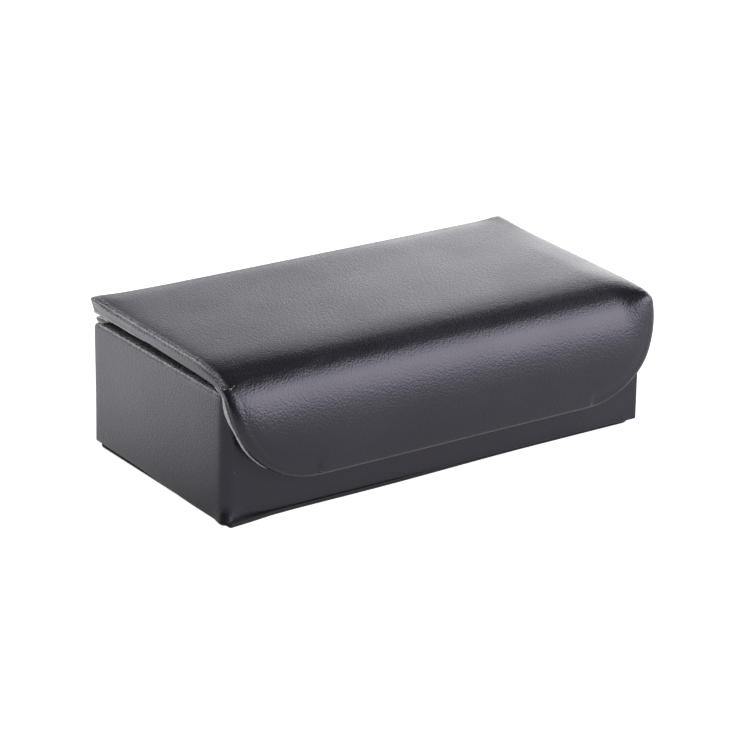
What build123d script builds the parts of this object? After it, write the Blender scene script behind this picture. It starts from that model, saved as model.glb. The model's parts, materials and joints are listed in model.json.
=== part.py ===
from build123d import *
from math import cos, radians, sin
import os

# A small cufflink box: a board tray wrapped in leatherette, a flat lid on a fold hinge along
# its back edge, and a padded flap that rolls over the front and is held by two magnets.
# Millimetres. X runs along the length, Y from front to back, Z up. The origin is at the
# middle of the whole object's footprint, on the surface it stands on.

# Overall sizes of the wrapped tray
body_length = 90.0
body_width = 44.6
body_height = 23.6
corner_radius = 1.6
rim_radius = 1.2

# Sheet materials
leather = 0.7
wall_board = 2.0
floor_thickness = 1.6
base_sheet_thickness = 0.6
stay_paper = 0.2
wall_cloth = 0.5
liner_tape = 0.4
glue_line = 0.02

# Tray details
base_sheet_corner = 2.8
bottom_turn_in = 8.0
rim_turn_in = 9.0
stay_reach = 9.0
wall_cloth_drop = 2.2

# Lid sandwich, from the bottom up: lining, folded-in edge, board, wadding, leatherette
lid_gap = 1.6
lid_overhang = 0.4
lid_lining_thickness = 0.5
lid_lining_inset = 0.3
lid_fold_in = 0.3
lid_fold_in_width = 7.0
lid_board_thickness = 1.0
lid_wadding = 0.3
lid_edge_radius = 0.9
lid_pad_thickness = 1.3
lid_pad_cloth = 0.4
lid_pad_clearance = 1.4

# Flap: a roll over the front edge, then a gently bowed face
flap_proud = 5.2
roll_radius = 4.8
flap_lean = 20.0
flap_face_radius = 33.0
flap_back_radius = 30.5
flap_corner_radius = 16.0
flap_edge_radius = 0.6
flap_lining_thickness = 0.5
flap_card = 0.8
fold_clearance = 0.1

# Magnetic catch
magnet_diameter = 8.0
magnet_thickness = 1.2
plate_diameter = 10.0
plate_thickness = 0.9
catch_spacing = 44.0
catch_rim_distance = 2.05
pocket_clearance = 0.1

# Back hinge
hinge_clearance = 0.15
liner_down_leg = 6.0

# Padded insert with a slot for each cufflink, whose face lies in the room above it
cufflink_room = 8.8
insert_clearance = 0.4
insert_crown = 1.2
insert_corner_radius = 1.5
card_thickness = 1.0
velvet = 0.6
slot_length = 15.0
slot_width = 2.4
slot_spacing = 40.0
slot_lip = 3.0

# Where the walls stand: the tray sits back from the middle by half of what the flap adds
front = -(body_width - flap_proud) / 2
back = (body_width + flap_proud) / 2
middle = (front + back) / 2
floor_bottom = base_sheet_thickness + leather
floor_top = floor_bottom + floor_thickness
wall_top = body_height - leather
shell = leather + stay_paper
wall_total = shell + wall_board
lid_bottom = body_height + lid_gap
board_bottom = lid_bottom + lid_lining_thickness + lid_fold_in
board_top = board_bottom + lid_board_thickness
wadding_top = board_top + lid_wadding
lid_top = wadding_top + leather
lid_length = body_length + 2 * lid_overhang
lid_thickness = lid_top - lid_bottom
hinge_height = body_height + lid_gap / 2

# Where the flap's arcs have their centres, in the (Y, Z) plane
lean_cos = cos(radians(flap_lean))
lean_sin = sin(radians(flap_lean))
roll_y = front - flap_proud + roll_radius * lean_cos + flap_face_radius * (1 - lean_cos)
roll_z = lid_top - roll_radius
face_y = roll_y + (flap_face_radius - roll_radius) * lean_cos
face_z = roll_z - (flap_face_radius - roll_radius) * lean_sin
inner_roll_radius = roll_radius - lid_thickness
inner_y = roll_y + (flap_back_radius - inner_roll_radius) * lean_cos
inner_z = roll_z - (flap_back_radius - inner_roll_radius) * lean_sin
flap_split = roll_y + fold_clearance

# The catch lies where the flap's back stands upright, and the flap ends just below it
magnet_height = inner_z
flap_rim_height = magnet_height - magnet_diameter / 2 - catch_rim_distance

# Plan sizes inside the wrap
channel_length = body_length - 2 * leather
channel_width = body_width - 2 * leather
board_length = body_length - 2 * shell
board_width = body_width - 2 * shell
room_length = body_length - 2 * wall_total
room_width = body_width - 2 * wall_total
inner_length = room_length - 2 * leather
inner_width = room_width - 2 * leather
cloth_room_length = inner_length - 2 * wall_cloth
cloth_room_width = inner_width - 2 * wall_cloth
board_corner = corner_radius - shell

os.makedirs("parts", exist_ok=True)


def save(part, name):
    """Label a finished piece and write it under its own name."""
    part.label = name
    export_step(part, f"parts/{name}.step")


def tray_plane(height):
    """The horizontal plane at this height, centred on the tray."""
    return Plane(origin=(0, middle, height))


# Base sheet: the thin card that closes the bottom and meets the table, with rounder corners
# than the wrap above it
with BuildPart() as base_sheet:
    with BuildSketch(tray_plane(0)):
        RectangleRounded(body_length, body_width, base_sheet_corner)
    extrude(amount=base_sheet_thickness)
save(base_sheet.part, "base_sheet")

# Floor board, with its corners eased to sit in the wrap
with BuildPart() as floor_board:
    with BuildSketch(tray_plane(floor_bottom)):
        RectangleRounded(board_length, board_width, board_corner)
    extrude(amount=floor_thickness)
save(floor_board.part, "floor_board")

# Front board, with a round pocket for each steel catch plate
catch_origin = (0, front + shell, magnet_height)
catch_plane = Plane(origin=catch_origin, x_dir=(1, 0, 0), z_dir=(0, 1, 0))
with BuildPart() as front_board:
    with BuildSketch(Plane(origin=(0, front + shell + wall_board / 2, floor_top))):
        Rectangle(board_length, wall_board)
    extrude(amount=wall_top - floor_top)
    outer_corners = front_board.edges().filter_by(Axis.Z).group_by(Axis.Y)[0]
    fillet(outer_corners, radius=board_corner)
    with BuildSketch(catch_plane):
        with GridLocations(catch_spacing, 1, 2, 1):
            Circle(plate_diameter / 2 + pocket_clearance)
    extrude(amount=plate_thickness + glue_line, mode=Mode.SUBTRACT)
save(front_board.part, "front_board")

# Steel catch plates, flush in the front board
with BuildPart() as catch_plates:
    with BuildSketch(catch_plane):
        with GridLocations(catch_spacing, 1, 2, 1):
            Circle(plate_diameter / 2)
    extrude(amount=plate_thickness)
save(catch_plates.part, "catch_plates")

# Back board
with BuildPart() as back_board:
    with BuildSketch(Plane(origin=(0, back - shell - wall_board / 2, floor_top))):
        Rectangle(board_length, wall_board)
    extrude(amount=wall_top - floor_top)
    outer_corners = back_board.edges().filter_by(Axis.Z).group_by(Axis.Y)[-1]
    fillet(outer_corners, radius=board_corner)
save(back_board.part, "back_board")

# End boards, butted between the front and back boards
for side, name in ((-1, "left_board"), (1, "right_board")):
    end_x = side * (board_length - wall_board) / 2
    with BuildPart() as end_board:
        with BuildSketch(Plane(origin=(end_x, middle, floor_top))):
            Rectangle(wall_board, room_width)
        extrude(amount=wall_top - floor_top)
    save(end_board.part, name)

# Corner stays: gummed paper folded round each upright corner of the boards
with BuildPart() as corner_stays:
    with BuildSketch(tray_plane(floor_top)):
        RectangleRounded(channel_length, channel_width, corner_radius - leather)
        RectangleRounded(board_length, board_width, board_corner, mode=Mode.SUBTRACT)
        with GridLocations(channel_length, channel_width, 2, 2):
            Rectangle(2 * stay_reach, 2 * stay_reach, mode=Mode.INTERSECT)
    extrude(amount=wall_top - floor_top)
save(corner_stays.part, "corner_stays")

# Tray wrap: the leatherette over the walls, turned in over the rim and under the floor,
# with the back panel running straight up to the fold of the hinge
upstand_top = hinge_height - hinge_clearance
turn_in_bottom = body_height - rim_turn_in
with BuildPart() as tray_wrap:
    with BuildSketch(tray_plane(base_sheet_thickness)):
        RectangleRounded(body_length, body_width, corner_radius)
    extrude(amount=body_height - base_sheet_thickness)
    rim_edges = tray_wrap.faces().sort_by(Axis.Z)[-1].edges()
    fillet(rim_edges, radius=rim_radius)
    with BuildSketch(tray_plane(floor_bottom)):
        RectangleRounded(channel_length, channel_width, corner_radius - leather)
        Rectangle(room_length, room_width, mode=Mode.SUBTRACT)
    extrude(amount=wall_top - floor_bottom, mode=Mode.SUBTRACT)
    with BuildSketch(tray_plane(floor_bottom)):
        Rectangle(room_length, room_width)
    extrude(amount=turn_in_bottom - floor_bottom, mode=Mode.SUBTRACT)
    with BuildSketch(tray_plane(turn_in_bottom)):
        Rectangle(inner_length, inner_width)
    extrude(amount=rim_turn_in, mode=Mode.SUBTRACT)
    with BuildSketch(tray_plane(base_sheet_thickness)):
        Rectangle(body_length - 2 * bottom_turn_in, body_width - 2 * bottom_turn_in)
    extrude(amount=leather, mode=Mode.SUBTRACT)
    with BuildSketch(Plane(origin=(0, back - leather - wall_total / 2, turn_in_bottom))):
        Rectangle(inner_length, wall_total)
    extrude(amount=rim_turn_in, mode=Mode.SUBTRACT)
    with BuildSketch(Plane(origin=(0, back - leather / 2, body_height - 2 * rim_radius))):
        Rectangle(body_length - 2 * corner_radius, leather)
    extrude(amount=upstand_top - body_height + 2 * rim_radius)
save(tray_wrap.part, "tray_wrap")

# Hinge liner: the white tape inside the fold, up the leatherette, over the back board's top
# edge and down inside the tray
tape_back = back - leather
tape_front = back - wall_total - liner_tape
with BuildPart() as hinge_liner:
    with BuildSketch(Plane.YZ):
        with BuildLine():
            Polyline(
                (tape_back, upstand_top),
                (tape_back, wall_top),
                (tape_front + liner_tape, wall_top),
                (tape_front + liner_tape, wall_top - liner_down_leg),
                (tape_front, wall_top - liner_down_leg),
                (tape_front, wall_top + liner_tape),
                (tape_back - liner_tape, wall_top + liner_tape),
                (tape_back - liner_tape, upstand_top),
                close=True,
            )
        make_face()
    extrude(amount=inner_length / 2 - glue_line, both=True)
save(hinge_liner.part, "hinge_liner")

# Wall lining: a cloth sleeve standing inside the tray
with BuildPart() as wall_lining:
    with BuildSketch(tray_plane(floor_top)):
        Rectangle(inner_length - 2 * glue_line, inner_width - 2 * glue_line)
        Rectangle(cloth_room_length, cloth_room_width, mode=Mode.SUBTRACT)
    extrude(amount=body_height - wall_cloth_drop - floor_top)
save(wall_lining.part, "wall_lining")

# Insert card, foam and velvet, loose in the tray so that they lift out together
insert_length = cloth_room_length - 2 * insert_clearance
insert_width = cloth_room_width - 2 * insert_clearance
card_top = floor_top + card_thickness
with BuildPart() as insert_card:
    with BuildSketch(tray_plane(floor_top)):
        RectangleRounded(insert_length, insert_width, insert_corner_radius)
    extrude(amount=card_thickness)
save(insert_card.part, "insert_card")


def crowned_block(length, width, edge_top, corner):
    """A block on the card whose top is crowned across the tray, with its upright corners eased."""
    with BuildPart() as block:
        with BuildSketch(Plane.YZ):
            with BuildLine():
                ends = Polyline(
                    (middle + width / 2, edge_top),
                    (middle + width / 2, card_top),
                    (middle - width / 2, card_top),
                    (middle - width / 2, edge_top),
                )
                ThreePointArc(ends @ 1, (middle, edge_top + insert_crown), ends @ 0)
            make_face()
        extrude(amount=length / 2, both=True)
        fillet(block.edges().filter_by(Axis.Z), radius=corner)
    return block.part


# The foam is cut square at its top edges, and the velvet is pulled round them
velvet_edge_top = lid_bottom - lid_pad_thickness - cufflink_room - insert_crown
foam_edge_top = velvet_edge_top - velvet
foam_length = insert_length - 2 * velvet
foam_width = insert_width - 2 * velvet
foam_block = crowned_block(foam_length, foam_width, foam_edge_top, insert_corner_radius - velvet)
slot_height = velvet_edge_top + insert_crown - card_top
with BuildPart() as insert_foam:
    add(foam_block)
    with BuildSketch(tray_plane(card_top)):
        with GridLocations(slot_spacing, 1, 2, 1):
            SlotOverall(slot_length + 2 * velvet, slot_width + 2 * velvet, rotation=90)
    extrude(amount=slot_height, mode=Mode.SUBTRACT)
save(insert_foam.part, "insert_foam")

with BuildPart() as velvet_block:
    add(crowned_block(insert_length, insert_width, velvet_edge_top, insert_corner_radius))
    crown_face = velvet_block.faces().filter_by(GeomType.CYLINDER).sort_by(SortBy.AREA)[-1]
    fillet(crown_face.edges(), radius=insert_corner_radius)
with BuildPart() as insert_velvet:
    add(velvet_block.part)
    add(foam_block, mode=Mode.SUBTRACT)
    with BuildSketch(tray_plane(foam_edge_top + insert_crown - slot_lip)):
        with GridLocations(slot_spacing, 1, 2, 1):
            SlotOverall(slot_length + 2 * velvet, slot_width + 2 * velvet, rotation=90)
    extrude(amount=slot_lip)
    with BuildSketch(tray_plane(card_top)):
        with GridLocations(slot_spacing, 1, 2, 1):
            SlotOverall(slot_length, slot_width, rotation=90)
    extrude(amount=slot_height, mode=Mode.SUBTRACT)
save(insert_velvet.part, "insert_velvet")

# Lid: every layer runs from the fold of the flap back to the hinge
lid_front = flap_split + fold_clearance
lid_depth = back - lid_front
lid_board_depth = lid_depth - leather


def lid_plane(height, depth=lid_depth):
    """The horizontal plane at this height, centred on a lid layer of this depth."""
    return Plane(origin=(0, lid_front + depth / 2, height))


lid_core_length = lid_length - 2 * leather
with BuildPart() as lid_board:
    with BuildSketch(lid_plane(board_bottom, lid_board_depth)):
        Rectangle(lid_core_length, lid_board_depth)
    extrude(amount=lid_board_thickness)
save(lid_board.part, "lid_board")

with BuildPart() as lid_padding:
    with BuildSketch(lid_plane(board_top, lid_board_depth)):
        Rectangle(lid_core_length, lid_board_depth)
    extrude(amount=lid_wadding)
save(lid_padding.part, "lid_padding")

# Lid cover: leatherette over the top and edges, folded in under the board on three sides,
# with a leaf that reaches down to the fold of the hinge
cover_bottom = lid_bottom + lid_lining_thickness
leaf_bottom = hinge_height + hinge_clearance
window_depth = lid_depth - lid_fold_in_width
with BuildPart() as lid_cover:
    with BuildSketch(lid_plane(cover_bottom)):
        Rectangle(lid_length, lid_depth)
    extrude(amount=lid_top - cover_bottom)
    side_edges = lid_cover.edges().filter_by(Axis.Y).group_by(Axis.Z)[-1]
    back_edge = lid_cover.edges().filter_by(Axis.X).group_by(Axis.Z)[-1].sort_by(Axis.Y)[-1]
    back_corners = lid_cover.edges().filter_by(Axis.Z).group_by(Axis.Y)[-1]
    fillet(side_edges + [back_edge] + back_corners, radius=lid_edge_radius)
    with BuildSketch(lid_plane(board_bottom, lid_board_depth)):
        Rectangle(lid_core_length, lid_board_depth)
    extrude(amount=wadding_top - board_bottom, mode=Mode.SUBTRACT)
    with BuildSketch(lid_plane(cover_bottom, window_depth)):
        Rectangle(lid_length - 2 * lid_fold_in_width, window_depth)
    extrude(amount=lid_fold_in, mode=Mode.SUBTRACT)
    with BuildSketch(Plane(origin=(0, back - leather / 2, leaf_bottom))):
        Rectangle(body_length - 2 * corner_radius, leather)
    extrude(amount=cover_bottom + lid_fold_in - leaf_bottom)
save(lid_cover.part, "lid_cover")

# Lid lining: its raw white edge shows below the leatherette
lining_depth = lid_depth - leather
with BuildPart() as lid_lining:
    with BuildSketch(lid_plane(lid_bottom, lining_depth)):
        Rectangle(lid_length - 2 * lid_lining_inset, lining_depth)
    extrude(amount=lid_lining_thickness)
save(lid_lining.part, "lid_lining")

# Lid pad: a card in soft cloth that hangs over the tray's opening
pad_length = inner_length - 2 * lid_pad_clearance
pad_width = inner_width - 2 * lid_pad_clearance
pad_card_thickness = lid_pad_thickness - lid_pad_cloth
with BuildPart() as lid_pad_card:
    with BuildSketch(tray_plane(lid_bottom - pad_card_thickness)):
        Rectangle(pad_length - 2 * lid_pad_cloth, pad_width - 2 * lid_pad_cloth)
    extrude(amount=pad_card_thickness)
save(lid_pad_card.part, "lid_pad_card")

with BuildPart() as lid_pad_cloth_cover:
    with BuildSketch(tray_plane(lid_bottom - lid_pad_thickness)):
        Rectangle(pad_length, pad_width)
    extrude(amount=lid_pad_thickness)
    lower_edges = lid_pad_cloth_cover.faces().sort_by(Axis.Z)[0].edges()
    fillet(lower_edges, radius=lid_pad_cloth / 2)
    with BuildSketch(tray_plane(lid_bottom - pad_card_thickness)):
        Rectangle(pad_length - 2 * lid_pad_cloth, pad_width - 2 * lid_pad_cloth)
    extrude(amount=pad_card_thickness, mode=Mode.SUBTRACT)
save(lid_pad_cloth_cover.part, "lid_pad_cloth")


def flap_section(outer_inset, back_inset, front_edge):
    """The flap's cross-section, with its outer and back faces moved in by these amounts."""
    roll = roll_radius - outer_inset
    face = flap_face_radius - outer_inset
    inner_roll = inner_roll_radius + back_inset
    inner_face = flap_back_radius + back_inset
    below = flap_lean + 14
    with BuildSketch(Plane.YZ) as section:
        with BuildLine():
            outer_roll_start = (roll_y, roll_z + roll)
            top_line = Line((front_edge, roll_z + roll), outer_roll_start)
            outer_roll = JernArc(top_line @ 1, (-1, 0), roll, 90 - flap_lean)
            outer_face = JernArc(outer_roll @ 1, outer_roll % 1, face, below)
            under_line = Line((front_edge, roll_z + inner_roll), (roll_y, roll_z + inner_roll))
            back_roll = JernArc(under_line @ 1, (-1, 0), inner_roll, 90 - flap_lean)
            back_face = JernArc(back_roll @ 1, back_roll % 1, inner_face, below)
            Line(outer_face @ 1, back_face @ 1)
            Line(top_line @ 0, under_line @ 0)
        make_face()
    return section.sketch


def flap_layer(outer_inset, back_inset, edge_inset, front_edge=flap_split):
    """A slice of the flap, cut to its front outline with the edge drawn in."""
    bottom = flap_rim_height + edge_inset
    height = lid_top + roll_radius - bottom
    section = flap_section(outer_inset, back_inset, front_edge)
    with BuildPart() as layer:
        with BuildSketch(Plane.XZ.offset(flap_proud + roll_radius - front)) as outline:
            with Locations((0, bottom + height / 2)):
                Rectangle(lid_length - 2 * edge_inset, height)
            lower_corners = outline.vertices().group_by(Axis.Y)[0]
            fillet(lower_corners, radius=flap_corner_radius - edge_inset)
        extrude(amount=-flap_proud - 4 * roll_radius)
        extrude(section, amount=lid_length, both=True, mode=Mode.INTERSECT)
    return layer.part


# Flap lining: the back layer, its raw white edge flush with the flap's outline
lining_block = flap_layer(0, 0, lid_lining_inset)
lining_rest = flap_layer(0, flap_lining_thickness, 0)
with BuildPart() as flap_lining:
    add(lining_block)
    add(lining_rest, mode=Mode.SUBTRACT)
save(flap_lining.part, "flap_lining")

# Magnets, let into the card and padding from the lining side
magnet_face = inner_y - flap_back_radius - flap_lining_thickness - glue_line
magnet_origin = (0, magnet_face, magnet_height)
magnet_plane = Plane(origin=magnet_origin, x_dir=(1, 0, 0), z_dir=(0, -1, 0))
with BuildPart() as flap_magnets:
    with BuildSketch(magnet_plane):
        with GridLocations(catch_spacing, 1, 2, 1):
            Circle(magnet_diameter / 2)
    extrude(amount=magnet_thickness)
save(flap_magnets.part, "flap_magnets")

with BuildPart() as magnet_pockets:
    with BuildSketch(magnet_plane.offset(-flap_card)):
        with GridLocations(catch_spacing, 1, 2, 1):
            Circle(magnet_diameter / 2 + pocket_clearance)
    extrude(amount=flap_card + magnet_thickness + glue_line)

# Flap card: the springy stiffener that keeps the bow
card_block = flap_layer(leather, flap_lining_thickness, leather)
card_rest = flap_layer(0, flap_lining_thickness + flap_card, 0)
with BuildPart() as flap_stiffener:
    add(card_block)
    add(card_rest, mode=Mode.SUBTRACT)
    add(magnet_pockets.part, mode=Mode.SUBTRACT)
save(flap_stiffener.part, "flap_stiffener")

# Flap padding: fills the bow between the card and the leatherette
with BuildPart() as flap_padding:
    add(flap_layer(leather, flap_lining_thickness + flap_card, leather))
    add(magnet_pockets.part, mode=Mode.SUBTRACT)
save(flap_padding.part, "flap_padding")

# Flap cover: leatherette over the face and round the edges
flap_core = flap_layer(leather, flap_lining_thickness, leather, lid_front)
with BuildPart() as flap_cover:
    add(flap_layer(0, flap_lining_thickness, 0))
    face_middle = (0, face_y - flap_face_radius, face_z)
    roll_middle = (0, roll_y - roll_radius * lean_sin, roll_z + roll_radius * lean_cos)
    bowed_face = flap_cover.faces().sort_by_distance(face_middle)[0]
    rolled_face = flap_cover.faces().sort_by_distance(roll_middle)[0]
    rim = [edge for edge in bowed_face.edges() if edge not in rolled_face.edges()]
    rim += rolled_face.edges().filter_by(GeomType.CIRCLE)
    fillet(rim, radius=flap_edge_radius)
    add(flap_core, mode=Mode.SUBTRACT)
save(flap_cover.part, "flap_cover")
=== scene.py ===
"""A cufflink box in black leatherette: studio, covers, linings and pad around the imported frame.

Everything is in metres. X runs along the box's length, Y from the flap towards the hinge, Z up.
"""

import json
import logging
import math
from collections.abc import Callable, Iterable, Iterator
from contextlib import contextmanager
from dataclasses import dataclass, field
from enum import Enum
from functools import partial

import bmesh
import bpy
from mathutils import Matrix, Vector, noise


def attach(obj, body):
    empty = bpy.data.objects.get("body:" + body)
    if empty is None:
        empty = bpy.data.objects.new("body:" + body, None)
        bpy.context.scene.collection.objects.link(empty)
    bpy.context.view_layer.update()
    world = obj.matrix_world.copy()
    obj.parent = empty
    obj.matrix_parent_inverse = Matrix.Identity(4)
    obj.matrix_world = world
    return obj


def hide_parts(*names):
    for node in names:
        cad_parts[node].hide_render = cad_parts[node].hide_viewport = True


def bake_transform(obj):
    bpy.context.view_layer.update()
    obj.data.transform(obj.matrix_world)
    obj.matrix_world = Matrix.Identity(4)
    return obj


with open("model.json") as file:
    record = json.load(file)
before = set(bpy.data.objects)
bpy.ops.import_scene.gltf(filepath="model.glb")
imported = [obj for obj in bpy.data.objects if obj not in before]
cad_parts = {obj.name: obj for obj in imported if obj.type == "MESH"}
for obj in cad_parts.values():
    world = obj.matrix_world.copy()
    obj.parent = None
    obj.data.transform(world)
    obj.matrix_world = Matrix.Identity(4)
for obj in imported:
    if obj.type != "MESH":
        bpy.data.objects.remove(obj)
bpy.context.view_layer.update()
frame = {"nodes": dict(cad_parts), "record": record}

log = logging.getLogger("cufflink_box")

MM = 0.001
REST_PLACE = "rest_place"
# Point attributes that mark where pale highlights are painted: along the rims, and along the flap's lower edge.
PAINTED_RIM_HIGHLIGHT = "painted_rim_highlight"
PAINTED_LOW_HIGHLIGHT = "painted_low_highlight"
SHEEN_ROUGHNESS = 0.4
NO_PULL = (0.0, 0.0, 0.0)
FRAY_SEED = 1

Point = tuple[float, float]
Place = tuple[float, float, float]


class Tone(Enum):
    """Colours of the box's materials, as linear RGB."""

    LEATHER = (0.0112, 0.0100, 0.0150)
    # A pale grey painted on as highlights along the leatherette's rims and along the flap's lower edge.
    WORN = (0.42, 0.41, 0.44)
    BLACK_CARD = (0.022, 0.022, 0.025)
    GREYBOARD = (0.42, 0.40, 0.37)
    KRAFT = (0.62, 0.55, 0.43)
    TAPE = (0.84, 0.85, 0.84)
    FLOCK = (0.70, 0.69, 0.65)
    VELVET = (0.74, 0.72, 0.68)
    SATIN = (0.80, 0.78, 0.74)
    LINING = (0.82, 0.82, 0.80)
    FOAM = (0.80, 0.79, 0.74)
    CARD = (0.66, 0.63, 0.57)
    STEEL = (0.58, 0.58, 0.57)
    NICKEL = (0.62, 0.61, 0.58)
    FLOOR = (0.76, 0.76, 0.76)
    DUST = (0.6, 0.6, 0.6)
    WHITE = (1.0, 1.0, 1.0)

    @property
    def solid(self) -> tuple[float, float, float, float]:
        """The colour with full alpha."""
        return (*self.value, 1.0)


def smooth(share: float) -> float:
    """A smooth step of a share between 0 and 1."""
    share = min(1.0, max(0.0, share))
    return share * share * (3 - 2 * share)


def hump(value: float, centre: float, width: float) -> float:
    """A bell of height 1 at the centre."""
    return math.exp(-(((value - centre) / width) ** 2))


def mix(a: float, b: float, share: float) -> float:
    """The value that lies this share of the way from a to b."""
    return a + (b - a) * share


def stray(x: float, y: float, z: float) -> float:
    """A smooth wandering value between -1 and 1 that is the same on each run."""
    return noise.noise(Vector((x, y, z)))


def quarter_turn(steps: int, first: int = 0) -> list[Point]:
    """The cosine and sine of equal steps of a turn from 0 to 90 degrees, from the first one that is wanted."""
    turns = [math.radians(90 * step / steps) for step in range(first, steps + 1)]
    return [(math.cos(turn), math.sin(turn)) for turn in turns]


def corner_arcs(low: Point, high: Point, radii: Iterable[float], steps: int) -> list[list[Point]]:
    """Draw the round corners of an upright box, seen from above.

    Args:
        low: its least x and y.
        high: its largest x and y.
        radii: the corners' radii, from the front right one over the back to the front left one.
        steps: how many steps each arc takes.

    Returns:
        The points of each arc, in that order.
    """
    front_right, back_right, back_left, front_left = radii
    centres = (
        (high[0] - front_right, low[1] + front_right, -90, front_right),
        (high[0] - back_right, high[1] - back_right, 0, back_right),
        (low[0] + back_left, high[1] - back_left, 90, back_left),
        (low[0] + front_left, low[1] + front_left, 180, front_left),
    )
    arcs = []
    for cx, cy, first, radius in centres:
        turns = [math.radians(first + 90 * step / steps) for step in range(steps + 1)]
        arcs.append([(cx + radius * math.cos(turn), cy + radius * math.sin(turn)) for turn in turns])
    return arcs


def through(knots: list[Vector], per_span: int) -> list[Vector]:
    """Draw a smooth line through a few points.

    Args:
        knots: the points that the line passes, in order.
        per_span: how many steps it takes from each point to the next.

    Returns:
        The points of the line.
    """
    ends = [2 * knots[0] - knots[1], *knots, 2 * knots[-1] - knots[-2]]
    line = []
    for a, b, c, d in zip(ends, ends[1:], ends[2:], ends[3:]):
        for step in range(per_span):
            t = step / per_span
            line.append(
                0.5 * (2 * b + (c - a) * t + (2 * a - 5 * b + 4 * c - d) * t**2 + (3 * b - a - 3 * c + d) * t**3)
            )
    return [*line, knots[-1].copy()]


def deselect() -> None:
    """Leave object mode clean, with nothing selected."""
    if bpy.context.object and bpy.context.object.mode != "OBJECT":
        bpy.ops.object.mode_set(mode="OBJECT")
    bpy.ops.object.select_all(action="DESELECT")


def pick(piece: bpy.types.Object) -> None:
    """Make this piece the only selected one, and the active one."""
    deselect()
    piece.select_set(True)
    bpy.context.view_layer.objects.active = piece


def begin(name: str) -> bpy.types.Object:
    """Name the primitive that was just added, and settle its place in its mesh."""
    piece = bpy.context.object
    piece.name = piece.data.name = name
    bpy.ops.object.transform_apply(location=True, rotation=True, scale=True)
    return piece


def finish_with(piece: bpy.types.Object, kind: str, **values: object) -> None:
    """Add one modifier with these values and apply it."""
    pick(piece)
    modifier = piece.modifiers.new(kind.title(), kind)
    for key, value in values.items():
        setattr(modifier, key, value)
    bpy.ops.object.modifier_apply(modifier=modifier.name)


@contextmanager
def editing(piece: bpy.types.Object, action: str | None = "SELECT") -> Iterator[None]:
    """Work on a piece's mesh in edit mode.

    Args:
        piece: the piece.
        action: "SELECT" to take its whole mesh, "DESELECT" for none of it, or None for what is already selected.
    """
    pick(piece)
    bpy.ops.object.mode_set(mode="EDIT")
    if action:
        bpy.ops.mesh.select_all(action=action)
    yield
    bpy.ops.object.mode_set(mode="OBJECT")


def bevel_some(
    piece: bpy.types.Object, parts: str, choose: Callable[[bpy.types.Mesh], list[bool]], **values: object
) -> None:
    """Bevel some of a piece's edges or vertices.

    Args:
        piece: the piece.
        parts: "edges" or "vertices".
        choose: tells for each of them whether it is bevelled.
        values: the bevel's settings.
    """
    with editing(piece, "DESELECT"):
        pass
    for part, chosen in zip(getattr(piece.data, parts), choose(piece.data)):
        part.select = chosen
    with editing(piece, None):
        bpy.ops.mesh.bevel(**values)


def joined(pieces: list[bpy.types.Object], name: str) -> bpy.types.Object:
    """Join some pieces into one with this name."""
    pick(pieces[0])
    for piece in pieces:
        piece.select_set(True)
    bpy.ops.object.join()
    pieces[0].name = pieces[0].data.name = name
    return pieces[0]


def tidy_mesh(piece: bpy.types.Object, merge: float = 0.00001, angle: float = 50.0) -> None:
    """Merge doubles, turn the faces outwards and shade the piece smooth up to an angle in degrees."""
    with editing(piece):
        bpy.ops.mesh.remove_doubles(threshold=merge)
        bpy.ops.mesh.normals_make_consistent(inside=False)
    bpy.ops.object.shade_smooth_by_angle(angle=math.radians(angle))


def woven_grid(
    name: str, across: int, along: int, place: Callable[[float, float], Vector], ring: bool = False
) -> bpy.types.Object:
    """Lay a grid and move each of its points to its place on a sheet.

    Args:
        name: the piece's name.
        across: faces across the sheet, where the first share runs from 0 to 1.
        along: faces along it, where the second share runs from 0 to 1.
        place: gives the point for the two shares.
        ring: whether the sheet's first and last columns meet.

    Returns:
        The sheet.
    """
    deselect()
    bpy.ops.mesh.primitive_grid_add(x_subdivisions=across, y_subdivisions=along, size=2.0)
    sheet = begin(name)
    for vertex in sheet.data.vertices:
        u, v = (vertex.co.x + 1) / 2, (vertex.co.y + 1) / 2
        vertex.co = place(u, v)
    if ring:
        with editing(sheet):
            bpy.ops.mesh.remove_doubles(threshold=1e-6)
    return sheet


def note_rest_place(piece: bpy.types.Object) -> None:
    """Store where each point lies at rest, so that the grain stays on the sheet."""
    rest = piece.data.attributes.new(REST_PLACE, "FLOAT_VECTOR", "POINT")
    for vertex, entry in zip(piece.data.vertices, rest.data):
        entry.vector = vertex.co


def note_share(piece: bpy.types.Object, name: str, share: Callable[[Vector], float]) -> None:
    """Store a share from 0 to 1 at each point of the sheet, such as where a pale highlight is painted."""
    values = piece.data.attributes.new(name, "FLOAT", "POINT")
    for vertex, entry in zip(piece.data.vertices, values.data):
        entry.value = share(vertex.co)


def spread(low: float, high: float, count: int, fine_at: Iterable[tuple[float, float]] = ()) -> list[float]:
    """Share out the lines of a grid, closer together where its shape turns sharply.

    Args:
        low: the first line's place.
        high: the last line's place.
        count: how many spaces there are.
        fine_at: the places to crowd the lines, each with its reach.

    Returns:
        The lines' places, in order.
    """
    samples = 600
    weight, total = [0.0], 0.0
    for k in range(samples):
        here = mix(low, high, (k + 0.5) / samples)
        total += 1 + 5 * max([hump(here, centre, reach) for centre, reach in fine_at], default=0.0)
        weight.append(total)
    lines, k = [], 0
    for step in range(count + 1):
        target = total * step / count
        while k < samples - 1 and weight[k + 1] < target:
            k += 1
        share = (target - weight[k]) / (weight[k + 1] - weight[k])
        lines.append(mix(low, high, (k + min(1.0, share)) / samples))
    return lines


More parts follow.
